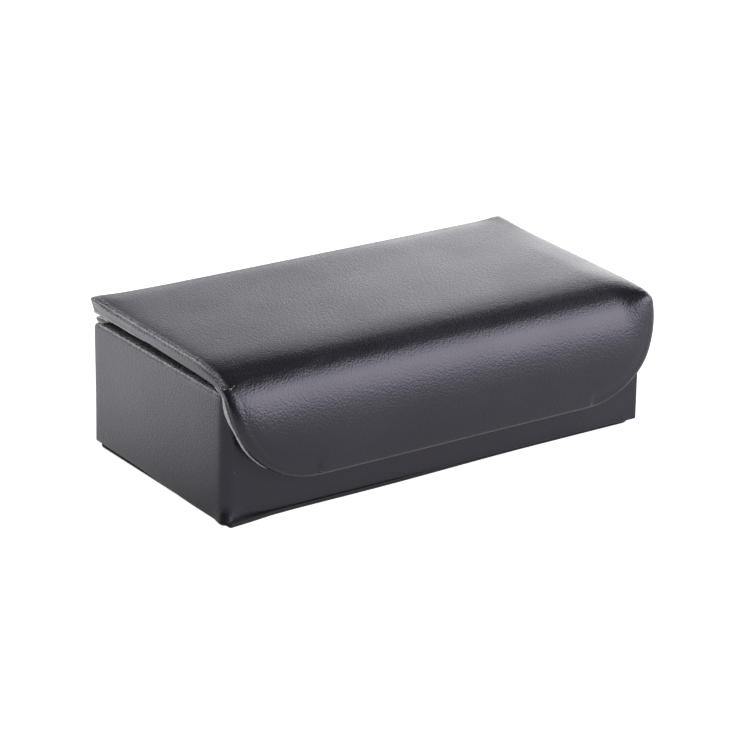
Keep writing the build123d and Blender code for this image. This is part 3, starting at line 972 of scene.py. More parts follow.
@dataclass
class Cover:
    """The lid and its flap: one sheet of leatherette over both, with their lining and padding."""

    wardrobe: Wardrobe
    profile: Profile = field(default_factory=Profile)
    half_length: float = 45.4 * MM
    flap_spread: float = 0.45 * MM
    lid_round: float = 1.0 * MM
    back_round: float = 0.5 * MM
    flap_round: float = 2.0 * MM
    tip_round: float = 0.7 * MM
    round_change: float = 3.5 * MM
    left_corner: float = 17.0 * MM
    right_corner: float = 15.0 * MM
    low_round: float = 0.25 * MM
    turn_in: float = 3.0 * MM
    skin: float = 0.45 * MM
    side_slant: float = 0.5 * MM
    slant_reach: float = 42 * MM
    fold_ends: Point = (-13.5 * MM, -24.2 * MM)
    bend_ends: Point = (-16.2 * MM, -22.6 * MM)
    end_droop: float = 0.28 * MM
    end_droop_reach: float = 1.5 * MM
    lining_inset: float = 0.12 * MM
    lining_hidden: float = 0.6 * MM
    lining_proud: float = 0.32 * MM
    lining_thickness: float = 0.9 * MM
    left_pinch: Place = (0.5 * MM, -0.4 * MM, 1.5 * MM)
    right_pinch: Place = (0.22 * MM, 1.0 * MM, 0.6 * MM)
    pinch_reach: float = 1.1 * MM
    waver: float = 0.35 * MM
    pucker: float = 0.06 * MM
    swell: float = 0.04 * MM
    columns: int = 112
    lining_columns: int = 70
    layer_columns: int = 40
    top_rows: int = 40
    fold_rows: int = 60
    tip_rows: int = 36
    round_steps: int = 8

    def rounding(self, along: float) -> float:
        """How far in from the sides the cover rounds over: little on the lid, more on the padded flap."""
        return mix(self.lid_round, self.flap_round, smooth((along - self.profile.crease_way) / self.round_change))

    def reach(self, along: float, side: float) -> float:
        """Half the length of the lid, and of the flap, whose right end spreads a little below the fold."""
        spread = self.flap_spread * smooth((along - self.profile.crease_way) / (4 * MM)) if side > 0 else 0.0
        return self.half_length + spread + 0.25 * MM * hump(along, 0.0, 6 * MM)

    def slant(self, along: float) -> float:
        """How far the side walls lean in towards their lower edge: most at the back of the lid."""
        return self.side_slant * smooth(1 - along / self.slant_reach)

    def near_corner(self, x: float, along: float) -> float:
        """How near a point is to one of the lid's back corners, whose leatherette stands up in a sharp fold."""
        return hump(math.hypot(self.half_length - abs(x), along * (0.45 if x > 0 else 1.0)), 0.0, 4 * MM)

    def width_at(self, along: float, side: float, inset: float, tip_inset: float) -> tuple[float, float]:
        """Find the cover's outline at one end.

        Args:
            along: the way along the profile.
            side: negative for the left end, positive for the right.
            inset: how far the outline is drawn in at the sides.
            tip_inset: how far it is drawn in at the tip.

        Returns:
            Half the width there, and how far the outline has turned towards the tip, in radians.
        """
        corner = self.left_corner if side < 0 else self.right_corner
        past = along - self.profile.length + corner
        turn = math.asin(min(1.0, max(0.0, past / (corner - tip_inset))))
        return self.reach(along, side) - inset - (corner - inset) * (1 - math.cos(turn)), turn

    def stations(self, back_inset: float, tip_inset: float) -> list[float]:
        """List the ways along at which the cover's rows lie, between its insets at the back and at the tip."""
        profile = self.profile
        fold_start, fold_end = (profile.along_at(depth) for depth in self.fold_ends)
        ways = [back_inset]
        for low, high, count in (
            (back_inset, fold_start, self.top_rows),
            (fold_start, fold_end, self.fold_rows),
        ):
            ways += [mix(low, high, k / count) for k in range(1, count + 1)]
        last = profile.length - tip_inset
        return ways + [mix(fold_end, last, sine) for _, sine in quarter_turn(self.tip_rows, 1)]

    def to_edge(self, x: float, along: float) -> float:
        """How far a point lies inside the cover's sides, back and round corners."""
        corner = self.left_corner if x < 0 else self.right_corner
        beside, beyond = abs(x) - self.reach(along, x) + corner, along - self.profile.length + corner
        near = min(self.reach(along, x) - abs(x), along, self.profile.length - along + self.flap_round)
        if beside > 0 and beyond > 0:
            near = min(near, corner - math.hypot(beside, beyond))
        return near

    def pinch(self, x: float, along: float) -> float:
        """How far the cover is drawn in at the two ends of its fold."""
        depth, centre, width = self.left_pinch if x < 0 else self.right_pinch
        near = math.exp(-(self.half_length - abs(x)) / self.pinch_reach)
        return depth * hump(along - self.profile.crease_way, centre, width) * near

    def relief(self, x: float, along: float) -> float:
        """How far the cover stands out of or sinks below its smooth line."""
        left = smooth((-x / self.half_length + 0.1) / 0.9)
        off = along - self.profile.crease_way
        waver = self.waver * stray(x * 90, 1.3, 0.2)
        pucker = self.pucker * stray(x * 280, along * 520, 3.1)
        fine = pucker * hump(off, 0.5 * MM + waver, 1.4 * MM) * (0.4 + left)
        wave = self.swell * stray(x * 60, along * 60, 0.7)
        near = max(0.0, self.to_edge(x, along) - self.rounding(along))
        droop = self.end_droop * math.exp(-near / self.end_droop_reach) * (1 - self.near_corner(x, along))
        return fine + wave - self.pinch(x, along) - droop

    def surface(self, x: float, along: float) -> Vector:
        """The outer surface's point."""
        profile = self.profile
        point = profile.outer(along, x) + profile.outward(along, x) * self.relief(x, along)
        return point + Vector((x, 0.0, 0.0))

    def rows_of(
        self, name: str, columns: int, ways: list[float], place: Callable[[float, float], Vector]
    ) -> bpy.types.Object:
        """Lay a sheet whose rows lie at given ways along the profile.

        Args:
            name: the sheet's name.
            columns: faces across the sheet.
            ways: the ways along, row by row.
            place: gives the point for a way along and a share across, from -1 at the left end to 1.

        Returns:
            The sheet.
        """
        last = len(ways) - 1
        return woven_grid(name, columns, last, lambda u, v: place(ways[round(v * last)], 2 * u - 1))

    def cover_sheet(self) -> bpy.types.Object:
        """Build the one sheet of leatherette over lid and flap, with its rims turned round the edges."""
        ways = self.stations(self.back_round, self.tip_round)

        def place(along: float, share: float) -> Vector:
            """The sheet's point, where the columns crowd towards its ends."""
            half, _ = self.width_at(along, share, self.rounding(along), self.tip_round)
            return self.surface(half * share * (1.3 - 0.3 * share * share), along)

        sheet = self.rows_of("lid_and_flap_cover", self.columns, ways, place)
        self.turn_rims(sheet, ways)
        return sheet

    def rim_steps(self) -> list[tuple[float, float, float]]:
        """List the rim's cross-section from the top of its edge to under it.

        Returns:
            For each step, the share of the way out, the share of the rounding's depth, and the share of the
            side below it.
        """
        steps = [(sine, 1 - cosine, 0.0) for cosine, sine in quarter_turn(self.round_steps, 1)]
        return [*steps, (1.0, 1.0, 0.5), (1.0, 1.0, 1.0)]

    def turn_rims(self, sheet: bpy.types.Object, ways: list[float]) -> None:
        """Extrude the sheet's border round the edges of lid and flap, and under them."""
        profile = self.profile
        mesh = bmesh.new()
        mesh.from_mesh(sheet.data)
        mesh.verts.ensure_lookup_table()
        wide = self.columns + 1

        def frame_of(vertex: bmesh.types.BMVert) -> tuple[Vector, Vector, float, float]:
            """The way out to the rim, the way to the turned edge, the slant and how near a corner is."""
            row, column = divmod(vertex.index, wide)
            along, x = ways[row], vertex.co.x
            _, turn = self.width_at(along, x, self.rounding(along), self.tip_round)
            side, fore = math.cos(turn) * self.rounding(along), math.sin(turn) * self.tip_round
            at_side = column in (0, wide - 1)
            if not at_side:
                side, fore = 0.0, self.tip_round
            if row == 0:
                fore = -self.back_round
            out = Vector((math.copysign(side, x), 0.0, 0.0)) + profile.tangent(along, x) * fore
            deep = profile.inner(along, x) - profile.outer(along, x)
            deep *= 1 - self.pinch(x, along) / deep.length
            return out, deep, self.slant(along), self.near_corner(x, along)

        ring = [e for e in mesh.edges if e.is_boundary]
        frames = {v: frame_of(v) for e in ring for v in e.verts}
        base = {v: v.co.copy() for v in frames}
        tucks = [(self.low_round * (cosine - 1), self.low_round * sine) for cosine, sine in quarter_turn(3, 1)]
        tucks.append((-self.turn_in, self.low_round))
        steps = [(*step, (0.0, 0.0)) for step in self.rim_steps()] + [(1.0, 1.0, 1.0, tuck) for tuck in tucks]
        origin = {v: v for v in frames}
        for out_by, down_by, share, tuck in steps:
            result = bmesh.ops.extrude_edge_only(mesh, edges=ring)
            fresh = {g for g in result["geom"] if isinstance(g, bmesh.types.BMVert)}
            ring = [g for g in result["geom"] if isinstance(g, bmesh.types.BMEdge) and g.is_boundary]
            lookup = {}
            for vertex in fresh:
                others = (edge.other_vert(vertex) for edge in vertex.link_edges)
                lookup[vertex] = origin[next(o for o in others if o in origin and o not in fresh)]
            for vertex, root in lookup.items():
                out, deep, slant, blunt = frames[root]
                full = deep.length - self.low_round
                sharp = min(out.length, 0.6 * full) * (1 - 0.6 * blunt)
                depth = mix(sharp * down_by, full, share) + tuck[1]
                aside = out.normalized() * (tuck[0] - slant * share)
                vertex.co = base[root] + out * out_by + aside + deep.normalized() * depth
            origin.update(lookup)
        mesh.to_mesh(sheet.data)
        mesh.free()

    def build(self) -> None:
        """Make the lid's and the flap's pieces."""
        cover = self.cover_sheet()
        tidy_mesh(cover, angle=60)
        note_rest_place(cover)
        # Store where the rim highlight and the highlight along the flap's lower edge are painted.
        note_share(cover, PAINTED_RIM_HIGHLIGHT, self.painted_rim_highlight_mask)
        note_share(cover, PAINTED_LOW_HIGHLIGHT, self.painted_low_highlight_mask)
        finish_with(cover, "SOLIDIFY", thickness=self.skin, offset=-1.0)
        self.wardrobe.dress(cover, "leatherette")
        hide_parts("lid_cover", "flap_cover")
        self.follow_fold(cover)
        log.info("lid and flap cover: %d faces", len(cover.data.polygons))
        self.lining()
        self.wadding()
        self.card()
        self.board()
        self.frays()

    def outline_wander(self, x: float, along: float) -> float:
        """How far the lining's raw edge strays from a straight cut."""
        return 0.07 * MM * stray(x * 900, along * 1400, 5.5) + 0.05 * MM * stray(x * 300, along * 300, 9.5)

    def lining(self) -> None:
        """Line the back of lid and flap with one white sheet, whose raw cut edge shows at the sides."""
        profile = self.profile
        ways = self.stations(self.lining_inset, self.lining_inset)
        fold = profile.along_at(-17.0 * MM)

        def place(along: float, share: float) -> Vector:
            """The lining's point."""
            inset = self.lining_inset
            if share < 0:
                _, turn = self.width_at(along, share, inset, inset)
                below = smooth((along - profile.crease_way - 2 * MM) / (3 * MM))
                inset -= self.lining_proud * below * smooth((math.radians(68) - turn) / math.radians(20))
            half, _ = self.width_at(along, share, inset, inset)
            hidden = smooth((along - 12 * MM) / (14 * MM)) * smooth((fold + 1.5 * MM - along) / (3 * MM))
            half += self.outline_wander(share, along) - self.lining_hidden * hidden - self.slant(along)
            x = half * share
            point = profile.inner(along, x) + profile.inward(along, x) * 0.02 * MM
            return point + Vector((x, 0.0, 0.0))

        sheet = self.rows_of("cover_lining", self.lining_columns, ways, place)
        thick = sheet.vertex_groups.new(name="frayed")
        for vertex in sheet.data.vertices:
            thick.add([vertex.index], self.frayed(vertex.co), "REPLACE")
        finish_with(
            sheet,
            "SOLIDIFY",
            thickness=self.lining_thickness,
            offset=1.0,
            vertex_group=thick.name,
            thickness_vertex_group=0.5,
        )
        tidy_mesh(sheet, angle=40)
        note_rest_place(sheet)
        self.wardrobe.dress(sheet, "white_lining")
        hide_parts("lid_lining", "flap_lining")
        self.follow_fold(sheet)

    def frayed(self, point: Vector) -> float:
        """How far the lining's raw edge has opened: most where the flap's left end leaves the fold."""
        left = smooth((-point.x - self.half_length + 3 * MM) / (2 * MM))
        return left * hump(point.z, 21.3 * MM, 1.9 * MM) * (1.0 if point.y < -20 * MM else 0.0)

    def layer_under(
        self, name: str, ways: list[float], inset: float, depth: float, thickness: float
    ) -> bpy.types.Object:
        """Lay a sheet of padding or card under the leatherette.

        Args:
            name: the sheet's name.
            ways: the ways along at which its rows lie.
            inset: how far in it ends from the cover's outline.
            depth: how far below the cover's surface it lies.
            thickness: how thick it is.

        Returns:
            The sheet.
        """

        def place(along: float, share: float) -> Vector:
            """The sheet's outer point."""
            x = self.width_at(along, share, inset, inset)[0] * share
            return self.surface(x, along) - self.profile.outward(along, x) * depth

        layer = self.rows_of(name, self.layer_columns, ways, place)
        finish_with(layer, "SOLIDIFY", thickness=thickness, offset=1.0)
        return layer

    def wadding(self) -> None:
        """Fill lid and flap between the leatherette and the boards with one layer of wadding."""
        inset = 2.8 * MM
        ways = self.stations(inset, inset)
        layer = self.layer_under("cover_wadding", ways, inset, self.skin + 0.05 * MM, 0.2 * MM)
        tidy_mesh(layer, angle=40)
        note_rest_place(layer)
        self.wardrobe.dress(layer, "foam")
        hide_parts("lid_padding", "flap_padding")
        self.follow_fold(layer)

    def card(self) -> None:
        """Stiffen the flap below its fold with a bent card."""
        inset = 3.0 * MM
        start = self.profile.along_at(-22.2 * MM)
        ways = [way for way in self.stations(inset, inset) if way > start]
        card = self.layer_under("flap_card", ways, inset, 0.85 * MM, 0.7 * MM)
        tidy_mesh(card, angle=30)
        self.wardrobe.dress(card, "card")
        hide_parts("flap_stiffener")
        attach(card, "flap")

    @staticmethod
    def board_front(mesh: bpy.types.Mesh) -> list[bool]:
        """Tell which edges of the lid's board are its upper front ones."""
        ends = [[mesh.vertices[i].co for i in edge.vertices] for edge in mesh.edges]
        return [all(end.y < 0 and end.z > 26.4 * MM for end in pair) for pair in ends]

    def board(self) -> None:
        """Stiffen the lid with a board that ends before the fold, its front edge eased under the roll."""
        low, high = Vector((-43.2, -15.9, 26.0)) * MM, Vector((43.2, 24.1, 26.75)) * MM
        deselect()
        bpy.ops.mesh.primitive_cube_add(size=1.0, location=(low + high) / 2, scale=high - low)
        board = begin("lid_stiff_board")
        bevel_some(board, "edges", self.board_front, offset=0.6 * MM, segments=5)
        finish_with(board, "BEVEL", width=0.15 * MM, segments=2, limit_method="ANGLE")
        tidy_mesh(board, merge=1e-6, angle=30)
        self.wardrobe.dress(board, "greyboard")
        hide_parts("lid_board")
        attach(board, "lid")

    def frays(self) -> None:
        """Leave a few loose ends of lining thread where the left end of the fold is pinched."""
        starts = (
            ((-45.2, -19.9, 25.2), (0.9, -0.5, 0.30), 0.45),
            ((-44.5, -20.6, 25.2), (0.2, -0.6, 0.80), 0.45),
            ((-44.2, -20.7, 25.1), (0.8, 0.3, 0.70), 0.50),
            ((-45.35, -19.3, 25.2), (-0.2, -0.4, 0.85), 0.40),
            ((-43.6, -20.3, 25.45), (0.5, -0.5, 0.65), 0.35),
        )
        noise.seed_set(FRAY_SEED)
        threads = []
        for index, (root, way, length) in enumerate(starts):
            deselect()
            middle = Vector(root) * MM + Vector(way).normalized() * length * MM / 2
            turn = Vector(way).to_track_quat("Z", "Y").to_euler()
            bpy.ops.mesh.primitive_cylinder_add(
                vertices=8, radius=0.035 * MM, depth=length * MM, location=middle, rotation=turn
            )
            thread = begin(f"fold_fray_{index + 1}")
            with editing(thread):
                bpy.ops.mesh.subdivide(number_cuts=3)
            for vertex in thread.data.vertices:
                vertex.co += noise.noise_vector(vertex.co * 2600 * 0.5) * 0.12 * MM
            threads.append(thread)
        frays = joined(threads, "fold_frays")
        tidy_mesh(frays, merge=1e-7, angle=60)
        note_rest_place(frays)
        self.wardrobe.dress(frays, "white_lining")
        self.follow_fold(frays)

    def follow_fold(self, piece: bpy.types.Object) -> None:
        """Bake a piece's place into its mesh; the fold's two ends are found, but the piece isn't bent."""
        profile = self.profile
        start, end = (profile.outer(profile.along_at(depth)) for depth in self.bend_ends)
        bpy.context.view_layer.update()
        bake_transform(piece)
        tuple(start)
        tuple(end)

    def painted_low_highlight_mask(self, point: Vector) -> float:
        """How near a point is to the flap's lower edge, where a pale highlight is painted along the leatherette."""
        return smooth((7.9 * MM - point.z) / (0.5 * MM)) * smooth((point.x + 36 * MM) / (8 * MM))

    def painted_rim_highlight_mask(self, point: Vector) -> float:
        """Where the pale rim highlight is painted on the cover: along the lid's side rims, and not on the flap."""
        side = smooth((abs(point.x) - self.half_length + 1.25 * MM) / (0.5 * MM))
        top = smooth((point.z - mix(24.9 * MM, 26.6 * MM, smooth((point.y + 20 * MM) / (6 * MM)))) / (0.5 * MM))
        return side * top * smooth((point.y + 20.6 * MM) / (1.5 * MM))


@dataclass
class Tray:
    """The tray's leatherette wrap and the base card under it."""

    wardrobe: Wardrobe
    half_length: float = 45.0 * MM
    front: float = -19.7 * MM
    back: float = 24.9 * MM
    corners: tuple[float, ...] = (0.4 * MM, 0.8 * MM, 0.4 * MM, 2.1 * MM)
    straight_steps: tuple[int, ...] = (36, 60, 36, 60)
    bows: tuple[float, ...] = (-0.26 * MM, 0.08 * MM, -0.06 * MM, 0.26 * MM)
    bow_reach: float = 9.0 * MM
    wall_reach: float = 2.2 * MM
    foot_droop: float = 0.62 * MM
    foot_flare: float = 1.1 * MM
    lean: float = 0.22 * MM
    wall: float = 3.6 * MM
    rim_height: float = 23.6 * MM
    rim_round: float = 1.0 * MM
    foot: float = 0.6 * MM
    foot_round: float = 0.25 * MM
    rim_turn_in: float = 9.0 * MM
    bottom_turn_in: float = 8.0 * MM
    skin: float = 0.45 * MM

    @property
    def middle(self) -> float:
        """The depth of the tray's middle."""
        return (self.front + self.back) / 2

    @property
    def half_width(self) -> float:
        """Half the tray's width."""
        return (self.back - self.front) / 2

    def path(self, inset: float) -> list[Point]:
        """Walk round the tray at an inset from its outline, and list the points."""
        half, low, high = self.half_length - inset, self.front + inset, self.back - inset
        arcs = corner_arcs((-half, low), (half, high), [max(r - inset, 0.05 * MM) for r in self.corners], 8)
        points = []
        for arc, after, count in zip(arcs, [*arcs[1:], arcs[0]], self.straight_steps):
            (x0, y0), (x1, y1) = arc[-1], after[0]
            points += arc
            points += [(mix(x0, x1, step / count), mix(y0, y1, step / count)) for step in range(1, count)]
        return [*points, points[0]]

    def section(self) -> list[Point]:
        """The wrap's cross-section: inset from the outline, and height, from inside to underneath."""
        rim, r, wall = self.rim_height, self.rim_round, self.wall
        line = [(wall, rim - self.rim_turn_in), (wall, rim - 5 * MM)]
        line += [(wall - r * (1 - cosine), rim - r + r * sine) for cosine, sine in quarter_turn(5)]
        line += [(r - r * sine, rim - r + r * cosine) for cosine, sine in quarter_turn(7)]
        count = 22
        low = self.foot + self.foot_round
        line += [(0.0, mix(rim - r, low, k / count)) for k in range(1, count + 1)]
        bend = self.foot_round
        line += [(bend * (1 - cosine), low - bend * sine) for cosine, sine in quarter_turn(4, 1)]
        line.append((self.bottom_turn_in, self.foot))
        return line

    def build(self) -> None:
        """Make the tray's soft pieces."""
        section = self.section()
        paths = [self.path(inset) for inset, _ in section]
        around = len(paths[0]) - 1

        def place(u: float, v: float) -> Vector:
            """The wrap's point for its two shares."""
            level = round(v * (len(section) - 1))
            inset, height = section[level]
            x, y = paths[level][round(u * around) % around]
            return Vector((x, y, height)) + self.slack(x, y, height, inset)

        wrap = woven_grid("tray_cover", around, len(section) - 1, place, ring=True)
        tidy_mesh(wrap, merge=1e-6, angle=60)
        note_rest_place(wrap)
        # Store where the rim highlight is painted.
        note_share(wrap, PAINTED_RIM_HIGHLIGHT, self.painted_rim_highlight_mask)
        finish_with(wrap, "SOLIDIFY", thickness=self.skin, offset=-1.0)
        self.wardrobe.dress(wrap, "leatherette")
        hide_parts("tray_wrap")
        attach(wrap, "tray")
        log.info("tray cover: %d faces", len(wrap.data.polygons))
        self.base()

    @staticmethod
    def outer_points(mesh: bpy.types.Mesh, front_left: bool) -> list[bool]:
        """Tell which points of a base layer are its front left corner, or its other three corners."""
        edges_at = [0] * len(mesh.vertices)
        for edge in mesh.edges:
            for end in edge.vertices:
                edges_at[end] += 1
        chosen = []
        for vertex in mesh.vertices:
            near = vertex.co.x < -42 * MM and vertex.co.y < -17 * MM
            at_corner = edges_at[vertex.index] == 2 and abs(vertex.co.x) > 44 * MM
            chosen.append(at_corner and near == front_left)
        return chosen

    def base_layer(self, name: str, low: float, inset: float) -> bpy.types.Object:
        """Make one layer of the base card.

        Args:
            name: the layer's name.
            low: the height of its underside.
            inset: how far in it ends from the tray's outline.

        Returns:
            The layer.
        """

        def place(u: float, v: float) -> Vector:
            """The layer's point for its two shares."""
            x, share = (2 * u - 1) * self.half_length, 2 * v - 1
            y = self.middle + share * (self.half_width - inset) - self.proud(x) * smooth(-share)
            if x < 0:
                x -= mix(-0.25 * MM, 0.15 * MM, (share + 1) / 2) * smooth(-x / (40 * MM))
            return Vector((x * (1 - inset / self.half_length), y, low))

        layer = woven_grid(name, 20, 8, place)
        for radius, front_left in ((0.45 * MM, True), (2.8 * MM, False)):
            choose = partial(self.outer_points, front_left=front_left)
            bevel_some(layer, "vertices", choose, offset=radius, segments=8, affect="VERTICES")
        finish_with(layer, "SOLIDIFY", thickness=0.27 * MM, offset=1.0)
        tidy_mesh(layer, merge=1e-7, angle=30)
        return layer

    def base(self) -> None:
        """Lay the base card under the tray: two thin layers, a little proud of the front wall."""
        layers = (("base_card", 0.0, 0.0), ("base_card_top", 0.31 * MM, 0.14 * MM))
        base = joined([self.base_layer(*layer) for layer in layers], "base_card")
        self.wardrobe.dress(base, "base_paper")
        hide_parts("base_sheet")
        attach(base, "tray")

    def proud(self, x: float) -> float:
        """How far the base card's front edge lies in front of the wall, or behind it where negative."""
        along = (x + self.half_length) / (2 * self.half_length)
        return (1.15 * hump(along, 0.0, 0.075) + 0.35 - 0.95 * smooth((along - 0.3) / 0.45)) * MM

    def slack(self, x: float, y: float, z: float, inset: float) -> Vector:
        """How far the leatherette strays from the straight wall at a point."""
        if inset > 1.2 * MM:
            return Vector(NO_PULL)
        to_end, to_side = self.half_length - abs(x), self.half_width - abs(y - self.middle)
        wander = 0.05 * MM * stray(x * 45, y * 45, z * 60)
        front_right, back_right, back_left, front_left = self.bows
        if x < 0:
            bow = front_left if y < self.middle else back_left
        else:
            bow = front_right if y < self.middle else back_right
        pull = Vector(NO_PULL)
        if to_end < self.wall_reach:
            pull.x = math.copysign(1.0, x) * (wander - bow * max(0.0, 1 - to_side / self.bow_reach) ** 2)
            if x < 0:
                pull.x -= self.lean * (1 - z / self.rim_height)
        if to_side < self.wall_reach:
            way = math.copysign(1.0, y - self.middle)
            pull.y = way * (wander - bow * 0.6 * max(0.0, 1 - to_end / self.bow_reach) ** 2)
        sag = 0.0
        if x < -self.half_length + 2.5 * MM:
            sag = smooth((14 * MM - y) / (24 * MM))
        if y < self.front + 2.5 * MM:
            sag = max(sag, smooth(1 - (x + self.half_length) / (7 * MM)))
        pull.z = -self.foot_droop * sag * smooth(1 - z / (4 * MM))
        if x < 0 and y < self.middle:
            flare = self.foot_flare * smooth(1.2 - z / (2.2 * MM)) * hump(math.hypot(to_end, to_side), 0.0, 2.0 * MM)
            pull += Vector((-flare, -flare, 0.0))
        return pull

    def painted_rim_highlight_mask(self, point: Vector) -> float:
        """Where the pale rim highlight is painted on the wrap: along the outer edge of its rim."""
        inside = min(self.half_length - abs(point.x), self.half_width - abs(point.y - self.middle))
        on_rim = smooth((point.z - self.rim_height + 1.1 * MM) / (0.5 * MM))
        return on_rim * smooth((1.3 * MM - inside) / (0.5 * MM))


@dataclass
class Hinge:
    """The leatherette strip over the back fold, and the white tape inside it."""

    wardrobe: Wardrobe
    back: float = 24.9 * MM
    strip_half: float = 43.4 * MM
    strip_line: tuple[Point, ...] = (
        (24.92, 16.9),
        (24.93, 19.4),
        (24.95, 21.6),
        (24.95, 22.6),
        (24.95, 23.3),
        (24.9, 23.9),
        (24.72, 24.4),
        (24.9, 24.9),
        (24.94, 25.4),
        (24.93, 26.0),
        (24.85, 26.7),
    )
    tape_line: tuple[Point, ...] = (
        (21.25, 16.9),
        (21.25, 19.5),
        (21.3, 22.0),
        (21.7, 23.3),
        (22.7, 23.95),
        (23.7, 24.05),
        (24.2, 24.4),
        (23.7, 24.85),
        (22.3, 25.08),
        (20.2, 25.12),
    )
    turn_start: float = 23.9 * MM
    turn_end: float = 24.9 * MM

    def ribbon(
        self, name: str, line: tuple[Point, ...], half: Callable[[float], float], thickness: float, inside: float
    ) -> bpy.types.Object:
        """Lay a strip along a line across the hinge.

        Args:
            name: the strip's name.
            line: the depth and height of its points, in millimetres.
            half: half its length at a share of the way along the line.
            thickness: how thick the sheet is.
            inside: which way the thickness goes, as Solidify's offset.

        Returns:
            The strip.
        """
        knots = through([Vector((0.0, y, z)) * MM for y, z in line], 6)
        last = len(knots) - 1

        def place(u: float, v: float) -> Vector:
            """The strip's point for its two shares."""
            x = half(v) * (2 * u - 1)
            ripple = 0.04 * MM * stray(x * 120, v * 9, 2.2)
            return knots[round(v * last)] + Vector((x, ripple, 0.0))

        strip = woven_grid(name, 96, last, place)
        finish_with(strip, "SOLIDIFY", thickness=thickness, offset=inside)
        tidy_mesh(strip, merge=1e-7, angle=50)
        note_rest_place(strip)
        return strip

    def build(self) -> None:
        """Make both strips and bake their places into their meshes."""
        cover = self.ribbon("hinge_cover", self.strip_line, lambda share: self.strip_half, 0.4 * MM, 1.0)
        self.wardrobe.dress(cover, "leatherette")
        tape = self.ribbon("hinge_tape", self.tape_line, self.tape_half, 0.28 * MM, 0.0)
        self.wardrobe.dress(tape, "white_tape")
        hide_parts("hinge_liner")
        for strip in (cover, tape):
            bpy.context.view_layer.update()
            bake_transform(strip)

    @staticmethod
    def tape_half(share: float) -> float:
        """Half the tape's length: between the walls below the rim, and to the box's ends above it."""
        return mix(41.3, 44.9, smooth((share - 0.36) / 0.12)) * MM


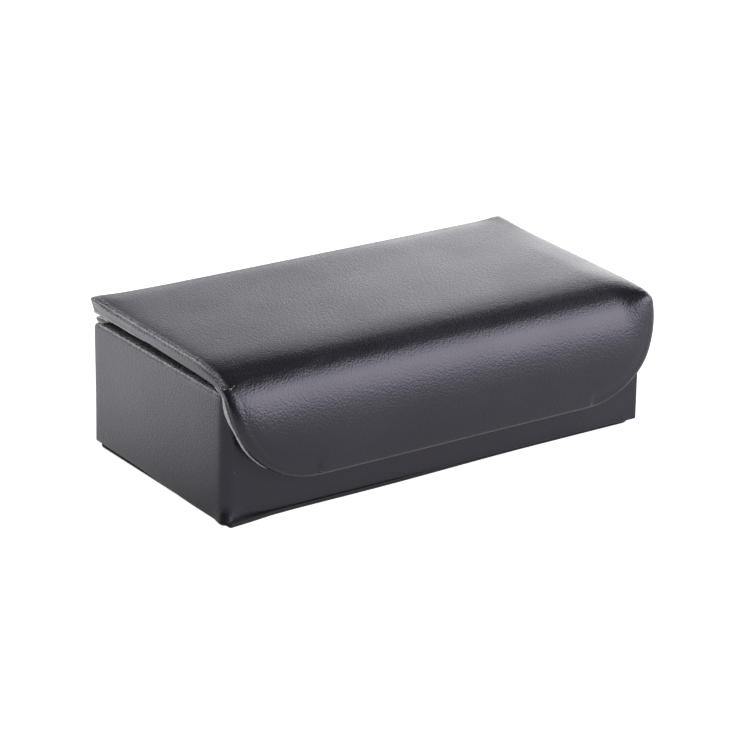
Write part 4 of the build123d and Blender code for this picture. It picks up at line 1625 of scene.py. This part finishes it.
@dataclass
class Padding:
    """The pad that holds the cufflinks, the wall cloth round it and the satin pad under the lid."""

    wardrobe: Wardrobe
    middle: float = 2.6 * MM
    slot_place: float = 20.0 * MM
    slot_half_length: float = 7.5 * MM
    slot_half_width: float = 1.2 * MM

    def pad(
        self, name: str, half: Point, low: float, high: float, crown: float, edge: float, slot: float, up: int
    ) -> bpy.types.Object:
        """Make a crowned pad, from lengths in millimetres.

        Args:
            name: the pad's name.
            half: half its length and width.
            low: the height that it rests on.
            high: the height of its edge.
            crown: how far its middle stands above its edge.
            edge: how far in from its sides its surface rounds over.
            slot: how deep its two slots are, or 0 for none.
            up: 1 if its crowned side is above, and -1 if below.

        Returns:
            The pad, closed and flat on its other side.
        """
        half = (half[0] * MM, half[1] * MM)
        low, high, crown, edge, slot = (length * MM for length in (low, high, crown, edge, slot))
        ends = [(-half[0], edge), (half[0], edge)]
        slots = [(s * self.slot_place, 2.2 * MM) for s in (-1, 1)] if slot else []
        across = spread(-half[0], half[0], 150 if slot else 100, [*ends, *slots])
        fine = [(self.middle - half[1], edge), (self.middle + half[1], edge)]
        if slot:
            fine += [(self.middle + s * self.slot_half_length, 1.2 * MM) for s in (-1, 1)]
        along = spread(self.middle - half[1], self.middle + half[1], 76, fine)

        def place(u: float, v: float) -> Vector:
            """The pad's surface for its two shares."""
            x, y = across[round(u * (len(across) - 1))], along[round(v * (len(along) - 1))]
            dx, dy = half[0] - abs(x), half[1] - abs(y - self.middle)
            near = min(dx, dy, edge)
            round_over = math.sqrt(max(0.0, 1 - ((edge - near) / edge) ** 2))
            swell = math.sin(math.pi / 2 * min(1.0, dx / (9 * MM))) * math.sin(math.pi / 2 * min(1.0, dy / (9 * MM)))
            height = crown * swell + edge * (round_over - 1)
            height += 0.10 * MM * stray(x * 90, y * 90, 1.7) * swell
            pulled = stray(x * 420, y * 420, 4.4) * 0.12 * MM * (1 - near / edge)
            if slot:
                height += self.slot_shape(x, y, slot)
            return Vector((x, y, (high if up > 0 else low) + up * (height + pulled)))

        pad = woven_grid(name, len(across) - 1, len(along) - 1, place)
        self.close(pad, low if up > 0 else high)
        return pad

    def slot_shape(self, x: float, y: float, depth: float) -> float:
        """The dip of a slot with the soft lips beside it."""
        dx = abs(abs(x) - self.slot_place)
        dy = abs(y - self.middle)
        across = smooth((self.slot_half_width + 0.35 * MM - dx) / (0.9 * MM))
        inside = across * smooth((self.slot_half_length + 0.3 * MM - dy) / (1.2 * MM))
        lip = 0.45 * MM * hump(dx, 2.6 * MM, 1.3 * MM) * smooth((self.slot_half_length + 1.5 * MM - dy) / (3 * MM))
        return lip * (1 - inside) - depth * inside

    def close(self, pad: bpy.types.Object, level: float) -> None:
        """Extrude a pad's border to the level that it is glued to, and close it there."""
        with editing(pad):
            bpy.ops.mesh.region_to_loop()
            bpy.ops.mesh.extrude_region()
        for vertex in pad.data.vertices:
            if vertex.select:
                vertex.co.z = level
        with editing(pad, None):
            bpy.ops.mesh.edge_face_add()
        tidy_mesh(pad, merge=1e-7, angle=55)
        note_rest_place(pad)

    def build(self) -> None:
        """Make every soft piece inside the box."""
        velvet = self.pad("cufflink_pad", (40.5, 17.8), 3.9, 13.9, 1.2, 1.5, 5.0, 1)
        self.wardrobe.dress(velvet, "velvet")
        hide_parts("insert_velvet")
        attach(velvet, "tray")
        foam = self.pad("pad_foam", (39.9, 17.2), 4.0, 13.0, 1.0, 1.0, 5.2, 1)
        self.wardrobe.dress(foam, "foam")
        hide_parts("insert_foam")
        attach(foam, "tray")
        satin = self.pad("lid_pad", (40.0, 17.3), 24.25, 25.15, 0.42, 0.55, 0.0, -1)
        self.wardrobe.dress(satin, "satin")
        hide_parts("lid_pad_cloth")
        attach(satin, "lid")
        self.walls()

    def walls(self) -> None:
        """Line the walls with a sleeve of flocked cloth."""
        half, low, high = 41.35 * MM, -16.05 * MM, 21.25 * MM
        corner, floor, top = 0.9 * MM, 2.95 * MM, 21.4 * MM
        arcs = corner_arcs((-half, low), (half, high), [corner] * 4, 5)
        path = [point for arc in arcs for point in arc]
        dense: list[Point] = []
        for (x0, y0), (x1, y1) in zip(path, [*path[1:], path[0]]):
            count = max(1, round(math.hypot(x1 - x0, y1 - y0) / (1.5 * MM)))
            dense += [(mix(x0, x1, k / count), mix(y0, y1, k / count)) for k in range(count)]
        around = len(dense)

        def place(u: float, v: float) -> Vector:
            """The sleeve's point for its two shares."""
            x, y = dense[round(u * around) % around]
            lift = 0.12 * MM * stray(x * 300, y * 300, 6.1) * v
            pull = 1 - 0.0015 * stray(x * 80, y * 80, v * 3)
            return Vector((x * pull, self.middle + (y - self.middle) * pull, mix(floor, top, v) + lift))

        sleeve = woven_grid("wall_sleeve", around, 14, place, ring=True)
        tidy_mesh(sleeve, merge=1e-6, angle=50)
        finish_with(sleeve, "SOLIDIFY", thickness=0.45 * MM, offset=-1.0)
        note_rest_place(sleeve)
        self.wardrobe.dress(sleeve, "wall_cloth")
        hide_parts("wall_lining")
        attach(sleeve, "tray")


def dress_cad(wardrobe: Wardrobe) -> None:
    """Give every node that still shows the finish of its slot."""
    slots = {entry["node"]: entry["material_slot"] for entry in frame["record"]["subparts"]}
    for name, node in frame["nodes"].items():
        paint(node, wardrobe.take(slots[name]))


def main() -> None:
    """Build the box and its studio."""
    logging.basicConfig(level=logging.INFO, format="%(message)s")
    scene = bpy.context.scene
    scene.view_settings.view_transform = "Standard"
    wardrobe = Wardrobe()
    dress_cad(wardrobe)
    Studio().build()
    Cover(wardrobe).build()
    Tray(wardrobe).build()
    Hinge(wardrobe).build()
    Padding(wardrobe).build()


if __name__ == "__main__":
    main()
